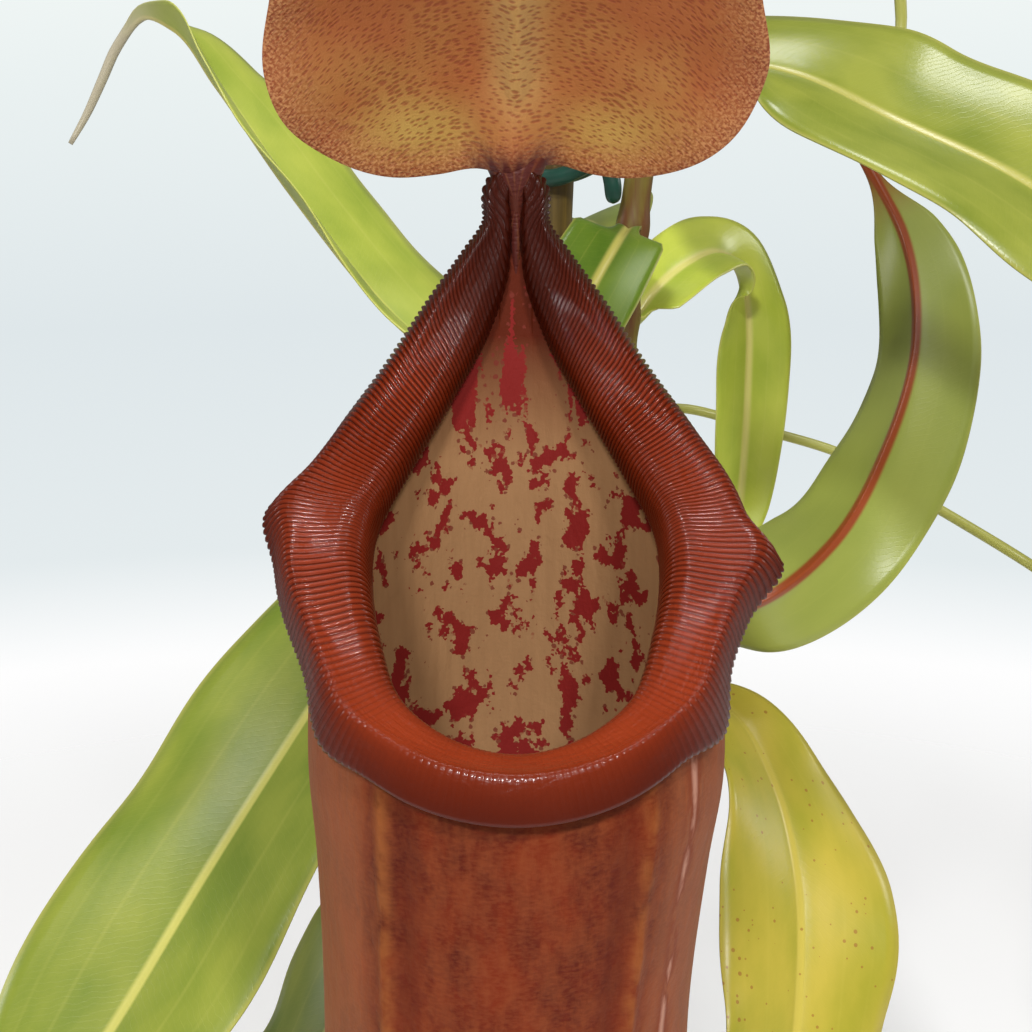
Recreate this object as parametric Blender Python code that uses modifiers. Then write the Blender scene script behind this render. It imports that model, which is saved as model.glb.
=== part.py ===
"""A potted tropical pitcher plant, tied to a cane.

Metres, +Z up. The origin is the centre of the pot's underside, and the mouth of
the large pitcher faces -Y. Tables are in millimetres and degrees; MM turns their
lengths into metres.
"""

import math
from dataclasses import dataclass

import bmesh
import bpy
import numpy as np

MM = 0.001
GAP = 0.3 * MM
PLANT = "potted_pitcher_plant"

# Pot: a plain moulded pot, with a thicker band round its rim
POT_HEIGHT = 125 * MM
POT_RIM_RADIUS = 75 * MM
POT_FOOT_RADIUS = 54 * MM
POT_WALL = 2.2 * MM
POT_BAND_HEIGHT = 17 * MM
POT_BAND_PROUD = 2.5 * MM
POT_SIDES = 36
DRAIN_HOLES = 6
DRAIN_RADIUS = 5 * MM
DRAIN_RING = 34 * MM

# Potting mix
MIX_TOP = 108 * MM
MIX_SIDES = 32
MIX_RINGS = (1.0, 0.86, 0.70, 0.52, 0.34, 0.16)
MIX_RELIEF = 2.4 * MM

# Bamboo cane, a straight rod with raised joints
CANE_FOOT = np.array((-5, 4, 30)) * MM
CANE_TOP = np.array((13, -1, 520)) * MM
CANE_RADIUS = 3.4 * MM
CANE_JOINTS = (0.22, 0.45, 0.62, 0.87)

# Climbing stem, which ends in a furled young leaf
STEM = np.array([(4, -8, 60), (6, -8, 112), (2, -14, 170), (9, -10, 240),
                 (17, -4, 305), (22, -3, 362), (30, -6, 425), (37, -3, 486),
                 (44, -2, 548)]) * MM
STEM_GIRTH = [(60, 4.2), (170, 3.8), (305, 3.2), (362, 2.7), (425, 2.5), (486, 2.3),
              (498, 1.7), (515, 3.0), (532, 2.2), (548, 0.5)]
STEM_SIDES = 8

# Soft tie round cane and stem, rising from one to the other, with a loose end
TIE_RADIUS = 1.6 * MM
TIE_AT_CANE = 366.5 * MM
TIE_AT_STEM = 373 * MM
TIE_END = np.array([(14.5, -5.6, 371.2), (16.2, -8.2, 369.6), (17.3, -9.0, 366.0),
                    (17.6, -8.6, 362.2)]) * MM

# Places of the pitchers' mouths, their size against a full-grown one, and how
# far each is turned about its own upright
MAIN_PITCHER = (np.array((0, -125, 335)) * MM, 1.0, 0.0)
SIDE_PITCHER = (np.array((168, 66, 262)) * MM, 0.72, -14.0)
TUBE_WALL = 1.0
RIB_BEARING = 36
RIB_HEIGHT = 0.8

# Half of the mouth's rim, from the neck round to the front lip: bearing from the
# front, radius, height, lean of the collar's face, and how far the collar
# reaches out, hangs outside, reaches in, hangs inside and stands above the rim
RIM = [
    (180.0, 25.6, 37.6, 90, 1.6, 0.2, 1.3, 0.2, 1.5),
    (175.7, 25.6, 35.4, 88, 1.9, 0.3, 1.4, 0.2, 1.5),
    (174.8, 25.4, 31.0, 86, 1.8, 0.4, 1.8, 0.3, 1.6),
    (170.5, 25.0, 26.5, 80, 2.8, 0.8, 3.5, 0.6, 1.8),
    (161.5, 24.6, 20.2, 72, 3.7, 1.2, 5.0, 1.0, 2.0),
    (148.0, 24.2, 12.4, 64, 4.2, 1.6, 5.4, 1.6, 2.2),
    (130.0, 24.0, 5.0, 56, 4.6, 2.0, 5.9, 2.4, 2.3),
    (108.0, 23.8, -0.6, 46, 4.6, 2.4, 6.3, 3.2, 2.4),
    (84.0, 23.4, -5.2, 34, 4.2, 2.8, 6.4, 3.6, 2.4),
    (62.0, 23.4, -11.8, 22, 3.0, 3.0, 6.0, 4.0, 2.4),
    (44.0, 23.6, -18.0, 12, 3.0, 3.0, 5.2, 4.0, 2.3),
    (22.0, 23.6, -21.6, 4, 3.4, 3.0, 4.8, 4.0, 2.3),
    (0.0, 23.6, -22.8, 0, 3.8, 3.0, 4.6, 4.0, 2.3),
]
# The collar is drawn out at four corners: bearing, extra reach, extra drop, spread
CORNERS = [(-103, 2.2, -1.6, 9), (87, 3.0, -1.4, 8), (-47, 0.9, 1.4, 8), (52, 0.8, 4.2, 7)]
COLLAR_WALL = 1.1
TOOTH = 0.35
RIB_RELIEF = 0.28

# Tube below the mouth: centre line (x, y, z) and radius, down to its tail
TUBE = [
    (0.0, 0.2, -30, 24.2), (-0.4, 0.2, -42, 23.2), (-1.1, 0.3, -62, 22.1), (-1.3, 0.6, -82, 22.3),
    (-1.2, 1.2, -100, 23.5), (-0.8, 2.6, -116, 23.4), (-0.4, 5.2, -130, 20.4),
    (-0.2, 9.2, -141, 15.4), (0.0, 14.0, -149, 10.2), (0.0, 19.4, -154.5, 6.2),
    (0.0, 25.0, -158, 3.6), (0.0, 31.0, -159.4, 2.4),
]
TUBE_FLOOR = 7

# Lid: heart-shaped, standing on the neck and arching forward over the mouth.
# Its outline is given by distance from a point inside it, from the tip round to
# the notch where it joins the neck
LID_OUTLINE = [(0, 37.0), (45, 30.5), (90, 28.0), (110, 31.8), (124, 33.1), (140, 31.8), (150, 29.9),
               (159, 27.4), (170, 24.4), (180, 23.8)]
LID_CENTRE = 24.0
LID_FOOT = (27.2, 38.5)
LID_LEAN = (24.0, 64.0)
LID_LENGTH = 62.0
LID_HALF_WIDTH = 31.0
LID_WALL = 1.1
LID_DOME = 2.2
LID_KEEL = 1.3

# Outline of a leaf, as share of its length and share of its full width
OUTLINE = [(0.0, 0.22), (0.08, 0.24), (0.20, 0.32), (0.36, 0.84), (0.50, 1.0), (0.66, 0.97),
           (0.82, 0.72), (0.93, 0.34), (1.0, 0.07)]
BLADE_RINGS = 14
BLADE_EDGE = 0.8
MIDRIB = 1.1
TENDRIL_RADIUS = 1.25
TENDRIL_STEP = 15.0

COLOURS = {
    "pot_plastic": ((0.055, 0.060, 0.058), 0.45),
    "potting_mix": ((0.110, 0.062, 0.035), 0.95),
    "bamboo": ((0.250, 0.170, 0.065), 0.55),
    "soft_tie": ((0.010, 0.120, 0.080), 0.40),
    "stem_skin": ((0.230, 0.190, 0.060), 0.55),
    "leaf_green": ((0.260, 0.420, 0.050), 0.40),
    "leaf_yellow": ((0.580, 0.560, 0.050), 0.45),
    "pitcher_skin": ((0.460, 0.110, 0.045), 0.45),
    "pitcher_collar": ((0.330, 0.025, 0.012), 0.20),
    "pitcher_lid": ((0.600, 0.260, 0.080), 0.45),
}


@dataclass
class Leaf:
    """One leaf: where it leaves the stem, and its midrib as x, y, z and roll.

    Stalk moves the narrow foot further along, fold and wave shape the blade, and
    tip is the radius at the end of the tendril.
    """

    name: str
    height: float
    blade: list
    width: float
    tendril: list
    stalk: float = 1.0
    fold: float = 14.0
    wave: float = 1.3
    tip: float = 0.6
    colour: str = "leaf_green"


LEAVES = [
    Leaf("leaf_low_right", 126,
         [(42, -26, 152, 0), (86, -50, 160, 0), (124, -70, 142, 0), (146, -82, 118, 0)], 40,
         [(151, -84, 106), (148, -80, 96), (141, -77, 99)]),
    Leaf("leaf_low_front", 140,
         [(-12, -38, 154, 0), (-36, -78, 160, 0), (-58, -112, 142, 0), (-68, -128, 116, 0)], 38,
         [(-69, -130, 104), (-66, -126, 94), (-60, -121, 97)]),
    Leaf("leaf_low_left", 153,
         [(-36, -8, 166, 0), (-80, 2, 165, 0), (-122, 8, 145, 0), (-142, 12, 118, 0)], 42,
         [(-146, 13, 106), (-143, 14, 96), (-136, 14, 100)]),
    Leaf("leaf_low_back", 176,
         [(20, 10, 189, 0), (20, 60, 204, 0), (22, 108, 190, 0), (23, 134, 160, 0)], 42,
         [(23, 138, 146), (21, 136, 134), (15, 131, 137)]),
    Leaf("leaf_mid_left", 233,
         [(-16, -15, 238, 0), (-30, -24, 218, 4), (-43, -36, 190, 4), (-49, -44, 158, 4)], 38,
         [(-49, -45, 146), (-46, -43, 136), (-40, -40, 138)]),
    Leaf("leaf_yellow", 258,
         [(27, -14, 269, 0), (40, -23, 270, 0), (46, -35, 262, -6), (49, -48, 249, -8),
          (48, -60, 231, -6), (43, -72, 208, 0), (36, -79, 186, 0)], 34,
         [(33, -81, 176), (29, -80, 168), (25, -75, 168)], 1.1, 8, 2.2, colour="leaf_yellow"),
    Leaf("leaf_curled_right", 286,
         [(44, -25, 292, -86), (59, -15, 300, -120), (71, -1, 314, -150), (80, 16, 334, -162),
          (80, 32, 353, -158), (73, 42, 368, -140)], 25.5,
         [(69, 46, 376), (62, 49, 382), (55, 49, 380)], 0.45, 20, 0.8),
    Leaf("leaf_back_left", 303,
         [(12, 10, 309, 0), (-30, 61, 334, 24), (-53, 77, 360, 28), (-71, 91, 383, 30),
          (-82, 99, 396, 40), (-90, 103, 399, 50), (-97, 104, 392, 50)], 38,
         [(-101, 103, 384), (-105, 102, 376), (-109, 100, 369)], 0.9, 24, 1.0),
    Leaf("leaf_front_left", 322,
         [(2, -11, 322, 0), (-16, -21, 304, -10), (-34, -40, 280, -25), (-50, -69, 260, -30),
          (-62, -92, 244, -30), (-73, -112, 232, -20), (-83, -130, 222, -10)], 40,
         [(-90, -139, 213), (-94, -144, 198), (-94, -144, 182), (-90, -139, 170),
          (-81.5, -132.9, 167.7)], 0.85, 10, 1.3, 1.35),
    Leaf("leaf_back", 332,
         [(18, 28, 352, 0), (12, 62, 352, 0), (8, 94, 331, 0), (13, 112, 307, 0)], 34,
         [(28, 116, 300), (45, 110, 301), (64, 108, 296), (84, 101, 291), (106, 88, 280),
          (128, 75, 268), (146, 80, 255), (164, 98, 234), (180, 114, 204), (186, 120, 174),
          (183, 113, 152), (177.5, 101, 146.4), (173.6, 88.5, 147.1)], tip=1.6),
    Leaf("leaf_carrier", 357.5,
         [(18.7, -11.7, 356, -14), (13.3, -22, 348.5, -16), (6.8, -34.1, 338, -10), (8, -56, 268, 0),
          (5, -64, 240, 0), (0, -69, 216, 0)], 20,
         [(-1, -69, 205), (-2, -65, 192), (-2, -61, 180), (-1, -66, 171.4), (0, -78, 171.4),
          (0, -93.6, 175.5)], 0.12, 15, 0.8, 2.2),
    Leaf("leaf_strap", 341,
         [(26.5, 2, 345.3, 40), (33.6, 9.4, 349.8, 40), (40.1, 16.9, 350.8, 40), (45.1, 23.1, 346.8, 85),
          (47.2, 24.9, 338, 115), (47.8, 24.8, 322.1, 130), (46.6, 20.9, 300, 135),
          (43.9, 14, 281.9, 135)], 16,
         [(42, 9, 270), (39, 6, 264), (36, 5, 265)], 0.1, 20, 1.0),
    Leaf("leaf_top_right", 388,
         [(48, -8, 385, 30), (64, -25, 377, 38), (83, -40, 367, 42), (100, -54, 352, 42),
          (113, -64, 330, 35), (119, -69, 308, 25)], 34,
         [(121, -70, 296), (119, -67, 286), (113, -63, 288)], 0.2, 14, 0.8),
    Leaf("leaf_high_right", 422,
         [(48, 18, 447, 0), (65, 36, 452, 0), (76, 44, 430, 0), (79, 44, 402, 0)], 30,
         [(79, 43, 392), (76, 41, 388), (72, 39, 391)]),
    Leaf("leaf_high_left", 441,
         [(18, -18, 455, 0), (-6, -22, 472, 0), (-36, -14, 483, 0), (-70, 2, 470, 0),
          (-92, 14, 445, 0)], 32,
         [(-97, 17, 433), (-96, 18, 421), (-90, 18, 423)]),
    Leaf("leaf_high_back", 462,
         [(38, 24, 489, 0), (40, 56, 502, 0), (42, 90, 490, 0), (42, 110, 466, 0)], 28,
         [(42, 114, 455), (41, 112, 444), (36, 108, 445)]),
]

# Closed young pitcher at the end of the front left leaf's tendril
YOUNG = np.array([(-80.6, -132.2, 168), (-77, -129, 169), (-73, -126, 174), (-71, -124.5, 183),
                  (-70, -124, 195), (-69.5, -124, 207), (-70, -126, 216), (-71.5, -131, 220)])
YOUNG_GIRTH = (1.4, 2.8, 4.6, 5.6, 4.9, 4.2, 3.6, 1.0)


def unit(vectors):
    """Vectors scaled to length 1."""
    return vectors / np.linalg.norm(vectors, axis=-1, keepdims=True)


def smooth(rows, shares, closed=False):
    """A smooth curve through rows, read at shares of its length.

    The first three columns are the place, and the others ride along. Between two
    rows it is a cubic whose slopes come from the rows on either side.
    """
    rows = np.asarray(rows, float)
    if closed:
        rows = np.concatenate([rows[-3:], rows, rows[:4]])
    knots = np.append(0, np.cumsum(np.linalg.norm(np.diff(rows[:, :3], axis=0), axis=1)))
    slopes = np.gradient(rows, knots, axis=0)

    def read(at):
        k = np.clip(np.searchsorted(knots, at, side="right") - 1, 0, len(knots) - 2)
        step = (knots[k + 1] - knots[k])[:, None]
        u = (at - knots[k])[:, None] / step
        return ((1 + 2 * u) * (1 - u) ** 2 * rows[k] + u * (1 - u) ** 2 * step * slopes[k]
                + u * u * (3 - 2 * u) * rows[k + 1] + u * u * (u - 1) * step * slopes[k + 1])

    start, end = (knots[3], knots[-4]) if closed else (knots[0], knots[-1])
    fine = np.linspace(start, end, 1500)
    length = np.append(0, np.cumsum(np.linalg.norm(np.diff(read(fine)[:, :3], axis=0), axis=1)))
    return read(np.interp(np.asarray(shares) * length[-1], length, fine))


def frames(path, up):
    """Tangent, side and face along a path, turned about it as little as possible."""
    tangents = unit(np.gradient(path, axis=0))
    faces = np.empty_like(path)
    for k, tangent in enumerate(tangents):
        up = unit(up - (up @ tangent) * tangent)
        faces[k] = up
    return tangents, np.cross(tangents, faces), faces


def material(name):
    """The material for a colour, made when first asked for."""
    if name not in bpy.data.materials:
        made = bpy.data.materials.new(name)
        made.use_nodes = True
        shader = made.node_tree.nodes["Principled BSDF"]
        colour, roughness = COLOURS[name]
        shader.inputs["Base Color"].default_value = (*colour, 1.0)
        shader.inputs["Roughness"].default_value = roughness
        made.diffuse_color = (*colour, 1.0)
    return bpy.data.materials[name]


def add_object(name, mesh, colour, collection):
    """Put a mesh in the scene, shaded smooth up to 40 degrees."""
    thing = bpy.data.objects.new(name, mesh)
    collection.objects.link(thing)
    mesh.materials.clear()
    mesh.materials.append(material(colour))
    mesh.shade_smooth()
    mesh.set_sharp_from_angle(angle=math.radians(40))
    return thing


def loft(name, rings, colour, collection, crossed=(), caps="fan", closed=False):
    """Join rings of points with triangles into one closed solid.

    Every quad is split from its first corner to its third, or the other way in
    the columns listed as crossed. The two ends are fans about a middle point, or
    strips from one half of the ring to the other, or absent where the rings
    themselves come round again.
    """
    count, size = rings.shape[:2]
    bm = bmesh.new()
    grid = [[bm.verts.new(point) for point in ring] for ring in rings * MM]
    for k in range(count if closed else count - 1):
        near, far = grid[k], grid[(k + 1) % count]
        for j in range(size):
            a, b, c, d = near[j], near[(j + 1) % size], far[(j + 1) % size], far[j]
            if j in crossed:
                bm.faces.new((a, b, d))
                bm.faces.new((b, c, d))
            else:
                bm.faces.new((a, b, c))
                bm.faces.new((a, c, d))
    if not closed:
        for k in (0, count - 1):
            if caps == "fan":
                middle = bm.verts.new(rings[k].mean(axis=0) * MM)
                for j in range(size):
                    bm.faces.new((grid[k][j], grid[k][(j + 1) % size], middle))
            else:
                for strip in caps:
                    bm.faces.new([grid[k][j] for j in strip])
    bmesh.ops.recalc_face_normals(bm, faces=bm.faces)
    if bm.calc_volume(signed=True) < 0:
        bmesh.ops.reverse_faces(bm, faces=bm.faces)
    mesh = bpy.data.meshes.new(name)
    bm.to_mesh(mesh)
    bm.free()
    return add_object(name, mesh, colour, collection)


def rod(name, points, radii, sides, colour, collection, closed=False):
    """A round bar along points, as a beveled curve turned into a mesh."""
    curve = bpy.data.curves.new(name, "CURVE")
    curve.dimensions = "3D"
    curve.bevel_depth = 1.0
    curve.bevel_resolution = (sides - 4) // 2
    curve.use_fill_caps = not closed
    spline = curve.splines.new("POLY")
    spline.points.add(len(points) - 1)
    for knot, point, radius in zip(spline.points, points, radii):
        knot.co = (*point, 1.0)
        knot.radius = radius
    spline.use_cyclic_u = closed
    guide = bpy.data.objects.new(name + "_guide", curve)
    collection.objects.link(guide)
    bpy.context.view_layer.update()
    shape = guide.evaluated_get(bpy.context.evaluated_depsgraph_get())
    mesh = bpy.data.meshes.new_from_object(shape)
    bpy.data.objects.remove(guide)
    bpy.data.curves.remove(curve)
    bm = bmesh.new()
    bm.from_mesh(mesh)
    bmesh.ops.remove_doubles(bm, verts=bm.verts, dist=0.01 * MM)
    bmesh.ops.recalc_face_normals(bm, faces=bm.faces)
    bm.to_mesh(mesh)
    bm.free()
    return add_object(name, mesh, colour, collection)


def turned(name, profile, sides, colour, collection):
    """A profile of radius and height turned about the upright axis."""
    mesh = bpy.data.meshes.new(name)
    mesh.from_pydata([(radius, 0, height) for radius, height in profile],
                     [(k, k + 1) for k in range(len(profile) - 1)], [])
    thing = add_object(name, mesh, colour, collection)
    screw = thing.modifiers.new("turn", "SCREW")
    screw.steps = screw.render_steps = sides
    screw.use_merge_vertices = True
    screw.merge_threshold = 0.01 * MM
    screw.use_smooth_shade = True
    return thing


def cut(thing, cutter):
    """Take a cutter away from a solid."""
    cutter.hide_render = True
    cutter.display_type = "WIRE"
    hole = thing.modifiers.new("cut", "BOOLEAN")
    hole.operation = "DIFFERENCE"
    hole.object = cutter


def stem_at(height):
    """Centre of the stem at a height in mm, and the stem's radius there."""
    path = smooth(STEM / MM, np.linspace(0, 1, 400))
    centre = np.array([np.interp(height, path[:, 2], path[:, axis]) for axis in range(3)])
    return centre, np.interp(height, *np.transpose(STEM_GIRTH))


def make_pot(parts, cutters):
    """The pot, a turned shell with drain holes in its floor."""
    foot, top, band = POT_FOOT_RADIUS, POT_RIM_RADIUS, POT_HEIGHT - POT_BAND_HEIGHT
    below_band = foot + (top - POT_BAND_PROUD - foot) * band / POT_HEIGHT
    profile = [
        (0, POT_WALL),
        (foot - 3 * POT_WALL, POT_WALL),
        (foot - POT_WALL, 3 * POT_WALL),
        (top - POT_BAND_PROUD - POT_WALL, POT_HEIGHT - 1 * MM),
        (top - POT_BAND_PROUD - POT_WALL + 1 * MM, POT_HEIGHT),
        (top - 1 * MM, POT_HEIGHT),
        (top, POT_HEIGHT - 1 * MM),
        (top - 1 * MM, band),
        (below_band, band - 1.5 * MM),
        (foot, 2 * MM),
        (foot - 2 * MM, 0),
        (0, 0),
    ]
    pot = turned("pot", profile, POT_SIDES, "pot_plastic", parts)
    for k in range(DRAIN_HOLES):
        angle = 2 * math.pi * (k + 0.5) / DRAIN_HOLES
        bpy.ops.mesh.primitive_cylinder_add(
            vertices=12, radius=DRAIN_RADIUS, depth=6 * POT_WALL,
            location=(DRAIN_RING * math.cos(angle), DRAIN_RING * math.sin(angle), 0))
        hole = bpy.context.object
        hole.name = f"drain_{k + 1}"
        hole.users_collection[0].objects.unlink(hole)
        cutters.objects.link(hole)
        cut(pot, hole)


def make_mix(parts, cutters):
    """The potting mix, lumpy on top, with holes where stem and cane stand."""
    wall = POT_WALL + GAP
    taper = (POT_RIM_RADIUS - POT_BAND_PROUD - POT_FOOT_RADIUS) / POT_HEIGHT
    low, foot = POT_WALL + GAP, POT_FOOT_RADIUS - 3 * POT_WALL - 2 * GAP
    edge = POT_FOOT_RADIUS - wall - 2 * GAP + taper * MIX_TOP * 0.98
    angles = np.linspace(0, 2 * np.pi, MIX_SIDES, endpoint=False)
    turn = np.stack([np.cos(angles), np.sin(angles)], axis=1)
    rings = [(foot * 0.5, low), (foot, low),
             (POT_FOOT_RADIUS - wall - 2 * GAP, 3 * POT_WALL + 2 * GAP)]
    rings += [(edge * share, MIX_TOP) for share in MIX_RINGS]
    mix = []
    for k, (radius, height) in enumerate(rings):
        ring = np.column_stack([radius * turn, np.full(MIX_SIDES, height)])
        if k > 2:
            x, y = ring[:, 0] / MM, ring[:, 1] / MM
            lumps = np.sin(0.21 * x + 1.3) * np.sin(0.26 * y - 0.4) + 0.6 * np.sin(0.43 * x - 0.37 * y)
            ring[:, 2] += MIX_RELIEF * lumps * 0.5 * min(1, (edge - radius) / (4 * MM) + 0.2)
        mix.append(ring)
    body = loft("potting_mix", np.array(mix) / MM, "potting_mix", parts)
    root = np.array([stem_at(height)[0] for height in (60, 75, 90, 105, 120, 135)]) * MM
    for name, line, radius, sides in (
            ("stem_hole", root, STEM_GIRTH[0][1] * MM + GAP, STEM_SIDES),
            ("cane_hole", np.array([CANE_FOOT, CANE_FOOT + 0.25 * (CANE_TOP - CANE_FOOT)]),
             CANE_RADIUS + GAP, 10)):
        line = line - [0, 0, GAP]
        hole = rod(name, line, np.full(len(line), radius * 1.08), sides, "potting_mix", cutters)
        cut(body, hole)


def make_cane(parts):
    """The cane, thicker at each joint."""
    shares = sorted([0, 1] + [joint + side for joint in CANE_JOINTS for side in (-0.006, 0, 0.006)])
    points = [CANE_FOOT + share * (CANE_TOP - CANE_FOOT) for share in shares]
    radii = [CANE_RADIUS * (1.14 if share in CANE_JOINTS else 1.0) for share in shares]
    rod("cane", points, radii, 10, "bamboo", parts)


def make_stem(parts):
    """The stem, with its furled tip."""
    path = smooth(STEM, np.linspace(0, 1, 34))
    radii = np.interp(path[:, 2] / MM, *np.transpose(STEM_GIRTH)) * MM
    rod("stem", path, radii, STEM_SIDES, "stem_skin", parts)


def make_tie(parts, cutters):
    """The tie, a loop round two bars, joined to its loose end."""
    cane = CANE_FOOT + (TIE_AT_CANE - CANE_FOOT[2]) / (CANE_TOP - CANE_FOOT)[2] * (CANE_TOP - CANE_FOOT)
    stem, girth = stem_at(TIE_AT_STEM / MM)
    stem = stem * MM
    along = unit((stem - cane) * [1, 1, 0])
    across = np.array([-along[1], along[0], 0])
    turn = np.radians(np.linspace(-90, 90, 7))[:, None]
    room = TIE_RADIUS + 1.6 * GAP
    round_stem = stem + (girth * MM + room) * (np.cos(turn) * along + np.sin(turn) * across)
    round_cane = cane - (CANE_RADIUS + room) * (np.cos(turn) * along + np.sin(turn) * across)
    loop = np.concatenate([round_stem, round_cane])
    tie = rod("tie", loop, np.full(len(loop), TIE_RADIUS), 8, "soft_tie", parts, closed=True)
    end = rod("tie_end", TIE_END, np.full(len(TIE_END), TIE_RADIUS), 8, "soft_tie", cutters)
    end.hide_render = True
    join = tie.modifiers.new("join", "BOOLEAN")
    join.operation = "UNION"
    join.object = end


def make_leaf(leaf, parts):
    """One leaf: a folded, waved blade that narrows into a round tendril.

    Its foot is cut to the stem's surface, so it clasps the stem.
    """
    centre, girth = stem_at(leaf.height)
    outward = unit((np.array(leaf.blade[0][:3]) - centre) * [1, 1, 0])
    foot = centre + outward * (girth + 0.9)
    roll = leaf.blade[-1][3]
    rows = np.array([(*foot, leaf.blade[0][3] * 0.5)] + leaf.blade
                    + [(*point, roll) for point in leaf.tendril], float)
    fine = smooth(rows, np.linspace(0, 1, 600))
    travel = np.append(0, np.cumsum(np.linalg.norm(np.diff(fine[:, :3], axis=0), axis=1)))
    tip = np.linalg.norm(fine[:, :3] - np.array(leaf.blade[-1][:3]), axis=1).argmin()
    length, total = travel[tip], travel[-1]
    coils = max(3, round((total - length) / TENDRIL_STEP))
    stops = np.append(np.linspace(0, 1, BLADE_RINGS) * length,
                      length + (total - length) * np.arange(1, coils + 1) / coils)
    path = smooth(rows, stops / total)
    spot = stops / length

    tangents, sides, faces = frames(path[:, :3], np.array((0.0, 0.0, 1.0)))
    angle = np.radians(path[:, 3])[:, None]
    faces, sides = (faces * np.cos(angle) + sides * np.sin(angle),
                    sides * np.cos(angle) - faces * np.sin(angle))

    outline = np.array(OUTLINE)
    outline[1:4, 0] *= leaf.stalk
    half = leaf.width / 2 * np.interp(spot, *outline.T)[:, None]
    bladed = np.clip((1 - spot) / 0.12, 0, 1)[:, None]
    beyond = np.clip((stops - length) / (total - length), 0, 1)[:, None]
    round_radius = TENDRIL_RADIUS + (leaf.tip - TENDRIL_RADIUS) * beyond ** 2
    across = np.array([-1, -0.52, 0, 0.52, 1, 1, 0.52, 0.10, 0, -0.10, -0.52, -1])
    under = np.arange(12) > 4
    keel = MIDRIB * np.exp(-0.7 * spot)[:, None] + 1.5 * np.exp(-9 * spot)[:, None]
    depth = np.where(under, -BLADE_EDGE / 2 - 0.1 * (1 - np.abs(across)), BLADE_EDGE / 2)
    depth = depth - np.where(across == 0, keel * under + 0.25 * ~under, 0)
    ripple = np.sin(2 * np.pi * 3.2 * spot)[:, None] * np.sign(across) + 0.35
    lift = (half * np.abs(across) * math.tan(math.radians(leaf.fold))
            + leaf.wave * np.abs(across) ** 2 * ripple * np.clip(half / 12, 0, 1))
    clock = np.radians([168, 130, 90, 50, 12, -12, -45, -72, -90, -108, -135, -168])
    wide = bladed * half * across + (1 - bladed) * round_radius * np.cos(clock)
    high = bladed * (lift + depth) + (1 - bladed) * round_radius * np.sin(clock)
    rings = path[:, None, :3] + wide[..., None] * sides[:, None] + high[..., None] * faces[:, None]

    reach = girth + 1.9 * GAP / MM
    axis = unit(stem_at(leaf.height + 4)[0] - stem_at(leaf.height - 4)[0])
    back = -tangents[0]
    back_flat = back - (back @ axis) * axis
    for k, point in enumerate(rings[0]):
        flat = (point - centre) - ((point - centre) @ axis) * axis
        a, b, c = back_flat @ back_flat, flat @ back_flat, flat @ flat - reach ** 2
        rest = max(b * b - a * c, 0)
        rings[0, k] = point + back * (-b - math.sqrt(rest)) / a
    ends = ((0, 1, 10, 11), (1, 2, 8, 9, 10), (2, 3, 6, 7, 8), (3, 4, 5, 6))
    loft(leaf.name, rings, leaf.colour, parts, crossed=(5, 6, 7, 8, 9, 10), caps=ends)


def rim_loop(shares, scale):
    """The mouth's rim all the way round from the neck, left side first.

    Columns: x, y, z, face lean, reach out, drop outside, reach in, drop inside,
    crest, bearing.
    """
    half = np.array(RIM, float)
    left = half.copy()
    left[:, 0] *= -1
    table = np.concatenate([left, half[-2:0:-1]])
    bearing = np.radians(table[:, 0])
    places = np.column_stack([table[:, 1] * np.sin(bearing), -table[:, 1] * np.cos(bearing), table[:, 2]])
    loop = smooth(np.column_stack([places, table[:, 3:]]), shares, closed=True)
    bearing = np.degrees(np.arctan2(loop[:, 0], -loop[:, 1]))
    for at, reach, drop, spread in CORNERS:
        near = np.exp(-((bearing - at) / spread) ** 2)
        loop[:, 4] += reach * near
        loop[:, 5] += drop * near
    loop[:, :3] *= scale
    loop[:, 4:] *= scale
    return np.column_stack([loop, bearing])


def rim_frames(loop):
    """At each point of the rim: the way the collar faces, and the way out."""
    tangent = unit(np.roll(loop[:, :3], -1, axis=0) - np.roll(loop[:, :3], 1, axis=0))
    lean = np.radians(loop[:, 3])
    face = np.column_stack([0 * lean, -np.sin(lean), np.cos(lean)])
    face = unit(face - (face * tangent).sum(axis=1, keepdims=True) * tangent)
    return face, np.cross(tangent, face)


def placed(points, pitcher):
    """Points of a pitcher at the origin, moved to where the pitcher hangs."""
    place, _, turn = pitcher
    cos, sin = math.cos(math.radians(turn)), math.sin(math.radians(turn))
    return points @ np.array([(cos, sin, 0), (-sin, cos, 0), (0, 0, 1)]) + place / MM


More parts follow.
